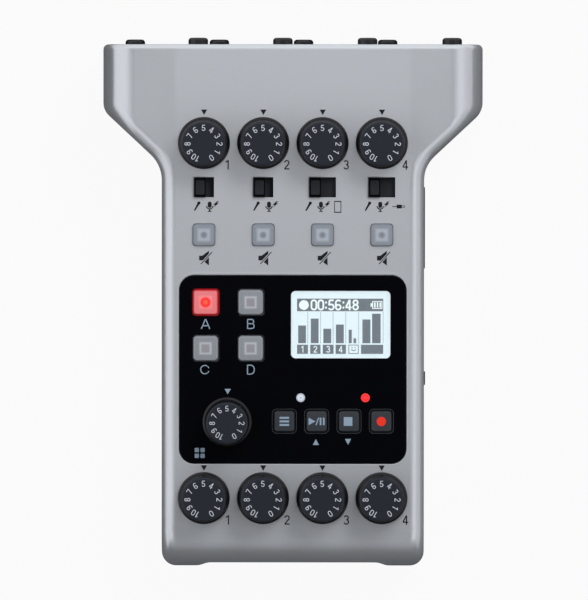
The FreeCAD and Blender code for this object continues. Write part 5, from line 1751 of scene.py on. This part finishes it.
@dataclass
class TopPrinting:
    """Digits and signs printed on the silver top."""

    digit: float = 2.8
    upper_digits: Point = (6.95, -35.6)
    lower_digits: Point = (7.1, -140.55)
    sign_row: float = -46.5
    telephone_from_row: Point = (4.5, -1.5)
    plug_from_row: Point = (5.0, -1.4)
    mute_signs: float = -63.15
    two_place_signs: Place = (-2.15, 1.7, 3.55)
    three_place_signs: Place = (-4.25, -0.46, 1.4)

    def build(self) -> None:
        """Make all the printing of the silver top."""
        digits = bmesh.new()
        for i, x in enumerate(CHANNELS, start=1):
            for right, along in (self.upper_digits, self.lower_digits):
                gather(digits, figure(str(i), self.digit), shift(x + right, along))
        settle("channel_digits", digits, TOP.place(0.0, 0.0), INKS["black_ink"], CASE)
        signs = bmesh.new()
        for i, x in enumerate(CHANNELS):
            offsets = self.two_place_signs if i < 2 else self.three_place_signs
            for offset, make in zip(offsets, (self.hand_mic, self.stand_mic, self.bolt)):
                gather(signs, make(), shift(x + offset, self.sign_row))
        for x, sign, (right, up) in ((CHANNELS[2], self.telephone(), self.telephone_from_row),
                                     (CHANNELS[3], self.plug(), self.plug_from_row)):
            gather(signs, sign, shift(x + right, self.sign_row + up))
        settle("switch_signs", signs, TOP.place(0.0, 0.0), INKS["black_ink"], CASE)
        mutes = bmesh.new()
        for x in CHANNELS:
            gather(mutes, self.muted_speaker(), shift(x, self.mute_signs))
        settle("mute_signs", mutes, TOP.place(0.0, 0.0), INKS["black_ink"], CASE)

    def hand_mic(self) -> bmesh.types.BMesh:
        """Slanted microphone held in the hand.

        Returns:
            Its mesh.
        """
        bm = plate([(-0.34, 0.1), (-0.2, -2.5), (0.2, -2.5), (0.34, 0.1)])
        gather(bm, disc_plate(0.47, 18), shift(0.0, 0.12))
        bmesh.ops.transform(bm, matrix=shift(0.6, -0.5, 0.0, -30.0), verts=bm.verts)
        return bm

    def stand_mic(self) -> bmesh.types.BMesh:
        """Microphone in a holder.

        Returns:
            Its mesh.
        """
        bm = tile(1.15, 1.85, 0.56, 6)
        bmesh.ops.translate(bm, vec=(0.0, -0.9, 0.0), verts=bm.verts)
        gather(bm, arc_band(0.95, 0.32, 185.0, 355.0), shift(0.0, -1.2))
        gather(bm, box_plate(-0.18, -2.75, 0.18, -2.05))
        gather(bm, box_plate(-0.52, -2.98, 0.52, -2.68))
        return bm

    def bolt(self) -> bmesh.types.BMesh:
        """Lightning sign."""
        return plate([(0.3, 0.1), (-0.8, -0.95), (-0.2, -0.95), (-0.7, -1.75),
                      (0.85, -0.45), (0.25, -0.45), (0.95, 0.1)])

    def telephone(self) -> bmesh.types.BMesh:
        """Outline of a telephone, thicker at both ends.

        Returns:
            Its mesh.
        """
        bm = frame_plate(-1.05, -1.75, 1.05, 1.75, 0.22)
        gather(bm, box_plate(-1.05, -1.75, 1.05, -1.45))
        gather(bm, box_plate(-1.05, 1.45, 1.05, 1.75))
        return bm

    def plug(self) -> bmesh.types.BMesh:
        """Plain plug with a short lead.

        Returns:
            Its mesh.
        """
        bm = box_plate(-0.6, -0.55, 0.8, 0.55)
        gather(bm, frame_plate(0.8, -0.36, 1.75, 0.36, 0.16))
        gather(bm, box_plate(-1.9, -0.11, -0.6, 0.11))
        return bm

    def muted_speaker(self) -> bmesh.types.BMesh:
        """Loudspeaker with a stroke through it.

        Returns:
            Its mesh.
        """
        outline = [(-1.4, -0.7), (-0.45, -0.7), (1.5, -2.2), (1.5, 2.2), (-0.45, 0.7), (-1.4, 0.7)]
        slash = Vector((3.3, 3.55)).normalized()
        side = Vector((-slash.y, slash.x))
        start = Vector((-0.85, -1.75))
        gap, half_stroke, length = 0.34, 0.13, 4.85
        bm = bmesh.new()
        for keep in (1, -1):
            half = plate(outline)
            edge = start + side * gap * keep
            bmesh.ops.bisect_plane(half, geom=half.verts[:] + half.edges[:] + half.faces[:],
                                   plane_co=edge.to_3d(), plane_no=(side * keep).to_3d(), clear_inner=True)
            bmesh.ops.holes_fill(half, edges=half.edges)
            gather(bm, half)
        left, right = start + side * half_stroke, start - side * half_stroke
        far = slash * length
        gather(bm, plate([tuple(p) for p in (left, right, right + far, left + far)]))
        return bm


@dataclass
class TopLips:
    """Fine moulded lips round the openings of the silver top."""

    loops: tuple[Point, ...] = ((-0.02, -0.05), (0.1, 0.03), (0.22, 0.042), (0.5, 0.008))
    key_loops: tuple[Point, ...] = ((-0.20, -0.15), (-0.18, 0.015), (0.10, 0.03), (0.4, 0.008))

    def build(self) -> None:
        """Make the lips of the mute keys and of the slide switches."""
        bm = bmesh.new()
        for i, x in enumerate(CHANNELS):
            side = Keys.opening
            gather(bm, frame_ring(side, side, 1.2, self.key_loops), shift(x, Keys.mute_row))
            across = SlideSwitches.travels[i] + SlideSwitches.width + 0.4
            along = SlideSwitches.depth + 0.4
            gather(bm, frame_ring(across, along, 0.05, self.loops, 3), shift(x, SlideSwitches.row))
        settle("opening_lips", bm, TOP.place(0.0, 0.0), SILVER, CASE)


# --- Sides, back and underside ------------------------------------------------------------------


@dataclass
class CoverGrip:
    """Grip ridges on the battery cover, seen from below."""

    ridges: int = 5
    from_end: float = 7.0
    pitch: float = 1.3
    wide: float = 13.0
    tall: float = 0.25

    def build(self) -> None:
        """Make the ridges on the cover's outer face, near its free end."""
        low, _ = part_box("battery_cover")
        bm = bmesh.new()
        for step in range(self.ridges):
            ridge = slab(self.wide, 0.6, -self.tall, 0.05, 0.28, 0.0, 4)
            gather(bm, ridge, shift(0.0, step * self.pitch))
        place = Matrix.Scale(MM, 4) @ Matrix.Translation((0.0, low.y / MM + self.from_end, low.z / MM))
        settle("battery_cover_ridges", bm, place, FINISHES["dark_tray"], "battery_cover")


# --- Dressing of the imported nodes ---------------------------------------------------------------


class NodeDresser:
    """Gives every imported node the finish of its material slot."""

    def __init__(self, packed: dict) -> None:
        """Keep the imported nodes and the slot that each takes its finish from."""
        self.nodes: dict[str, bpy.types.Object] = packed["nodes"]
        self.slots = {part["node"]: part["material_slot"] for part in packed["record"]["subparts"]}

    def build(self) -> None:
        """Set the material of every node."""
        for name, item in self.nodes.items():
            made = WARDROBE.get(FINISHES[self.slots[name]])
            if not item.material_slots:
                item.data.materials.append(made)
            for place in item.material_slots:
                place.material = made
            log.info("%s: finish %s", name, made.name)


# --- Studio -------------------------------------------------------------------------------------


AIM = Vector((0.0, 0.0, 0.03))


@dataclass(frozen=True)
class Card:
    """Card that only reflections see, as studios hang round gloss and metal. Sizes are in metres."""

    name: str
    place: Place
    size: tuple[float, float]
    tone: float
    flat: bool = True

    def matrix(self) -> Matrix:
        """Where it hangs: level, or facing the object.

        Returns:
            Matrix into the row frame, from a square of one metre.
        """
        centre = Vector(self.place)
        scale = Matrix.Diagonal((*self.size, 1.0, 1.0))
        if self.flat:
            return Matrix.Translation(centre) @ scale
        turn = (AIM - centre).to_track_quat("Z", "Y").to_matrix().to_4x4()
        return Matrix.Translation(centre) @ turn @ scale


@dataclass(frozen=True)
class Lamp:
    """Area lamp that looks at the object, with its sides in metres and its power in watts."""

    name: str
    place: Place
    size: tuple[float, float]
    power: float


CARDS = (
    Card("black_card_over_panel", (0.0, -0.09, 0.75), (0.60, 0.10), 0.06),
    Card("grey_card_over_front", (0.0, -0.39, 0.75), (0.60, 0.50), 0.23),
    Card("grey_card_over_left", (-0.265, 0.165, 0.75), (0.36, 0.41), 0.20),
    Card("grey_card_over_right", (0.265, 0.165, 0.75), (0.36, 0.41), 0.10),
    Card("dim_card_in_front", (0.0, -0.60, 0.44), (1.6, 0.30), 0.21, False),
    Card("dark_card_in_front", (0.0, -0.66, 0.15), (1.6, 0.32), 0.02, False),
    Card("grey_card_at_right", (0.75, 0.0, 0.30), (1.4, 0.5), 0.55, False),
    Card("dark_card_on_floor", (0.0, -0.27, 0.002), (1.2, 0.74), 0.03),
)
LAMPS = (
    Lamp("back_softbox", (0.42, 0.62, 0.85), (0.6, 0.4), 7.4),
    Lamp("left_softbox", (-0.9, 0.1, 0.8), (1.5, 1.0), 5.0),
    Lamp("right_softbox", (0.95, -0.1, 0.8), (1.5, 1.0), 2.5),
)


@dataclass
class Studio:
    """Floor, world, lamps, cards and camera."""

    camera_place: Place = (0.0198, -0.0141, 4.0)
    camera_turn: Place = (0.0037, 0.0049, 0.0009)
    focal_pixels: float = 13433.0
    image_height: float = 600.0
    sensor: float = 36.0
    clip: tuple[float, float] = (0.05, 20.0)
    floor_half: float = 1.6
    floor_tone: float = 0.4
    floor_glow: float = 0.94
    world_light: float = 0.3

    def build(self) -> None:
        """Set up the studio."""
        self.floor()
        for card in CARDS:
            self.card(card)
        self.world()
        for lamp in LAMPS:
            self.lamp(lamp)
        self.camera()
        bpy.context.scene.view_settings.view_transform = "Standard"

    def floor(self) -> None:
        """Plain pale floor that keeps the object's shadow."""
        bm = bmesh.new()
        bmesh.ops.create_grid(bm, x_segments=2, y_segments=2, size=self.floor_half)
        nodes = MaterialTree("studio_floor")
        matt = nodes.add("ShaderNodeBsdfDiffuse")
        nodes.feed(matt.inputs["Color"], (self.floor_tone,) * 3)
        glow = nodes.add("ShaderNodeEmission")
        nodes.feed(glow.inputs["Color"], (1.0, 1.0, 1.0))
        mix = nodes.add("ShaderNodeMixShader")
        nodes.feed(mix.inputs[0], nodes.maths("MULTIPLY", nodes.seen(), self.floor_glow))
        nodes.feed(mix.inputs[1], matt.outputs[0])
        nodes.feed(mix.inputs[2], glow.outputs[0])
        nodes.show(mix)
        self.stand("floor", bm, Matrix.Identity(4), nodes.material)

    def card(self, card: Card) -> None:
        """Hang a card.

        Args:
            card: Its name, place, size and tone.
        """
        bm = bmesh.new()
        bmesh.ops.create_grid(bm, x_segments=1, y_segments=1, size=0.5)
        nodes = MaterialTree(card.name)
        tone = nodes.add("ShaderNodeEmission")
        nodes.feed(tone.inputs["Color"], (card.tone,) * 3)
        nodes.show(tone)
        item = self.stand(card.name, bm, card.matrix(), nodes.material)
        for kind in ("camera", "diffuse", "transmission", "shadow"):
            setattr(item, f"visible_{kind}", False)

    def stand(self, name: str, bm: bmesh.types.BMesh, place: Matrix,
              made: bpy.types.Material) -> bpy.types.Object:
        """Make a stage object, which isn't part of the recorder.

        Args:
            name: Name of the object.
            bm: Its mesh, which is freed.
            place: Matrix into the row frame.
            made: Its material.

        Returns:
            The object.
        """
        bmesh.ops.transform(bm, matrix=place, verts=bm.verts)
        mesh = bpy.data.meshes.new(name)
        bm.to_mesh(mesh)
        bm.free()
        mesh.materials.append(made)
        item = bpy.data.objects.new(name, mesh)
        bpy.context.scene.collection.objects.link(item)
        return item

    def world(self) -> None:
        """White round the studio for what is seen or mirrored, softer for its light."""
        world = bpy.data.worlds.new("studio_world")
        world.use_nodes = True
        bpy.context.scene.world = world
        nodes = NodeTree(world.node_tree)
        back = world.node_tree.nodes["Background"]
        nodes.feed(back.inputs["Color"], (1.0, 1.0, 1.0))
        nodes.feed(back.inputs["Strength"], nodes.spread(nodes.seen(), self.world_light, 1.0))

    def lamp(self, lamp: Lamp) -> None:
        """Hang a lamp, which gloss doesn't mirror.

        Args:
            lamp: Its name, place, size and power.
        """
        data = bpy.data.lights.new(lamp.name, "AREA")
        data.shape = "RECTANGLE"
        data.size, data.size_y = lamp.size
        data.energy = lamp.power
        item = bpy.data.objects.new(lamp.name, data)
        item.location = lamp.place
        item.visible_glossy = False
        item.rotation_euler = (AIM - Vector(lamp.place)).to_track_quat("-Z", "Y").to_euler()
        bpy.context.scene.collection.objects.link(item)

    def camera(self) -> None:
        """Camera at the photograph's place, straight above and a little tilted."""
        data = bpy.data.cameras.new("camera")
        data.sensor_width = self.sensor
        data.lens = self.focal_pixels * data.sensor_width / self.image_height
        data.clip_start, data.clip_end = self.clip
        item = bpy.data.objects.new("camera", data)
        item.location = self.camera_place
        item.rotation_euler = self.camera_turn
        bpy.context.scene.collection.objects.link(item)
        bpy.context.scene.camera = item


def main() -> None:
    """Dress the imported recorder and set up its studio."""
    logging.basicConfig(level=logging.INFO, format="%(name)s %(message)s")
    Studio().build()
    NodeDresser(frame).build()
    for assembly in (KnobRows(), SlideSwitches(), Keys(), DisplayPicture(), PanelTrim(), TopPrinting(),
                     TopLips(), CoverGrip()):
        assembly.build()


if __name__ == "__main__":
    main()
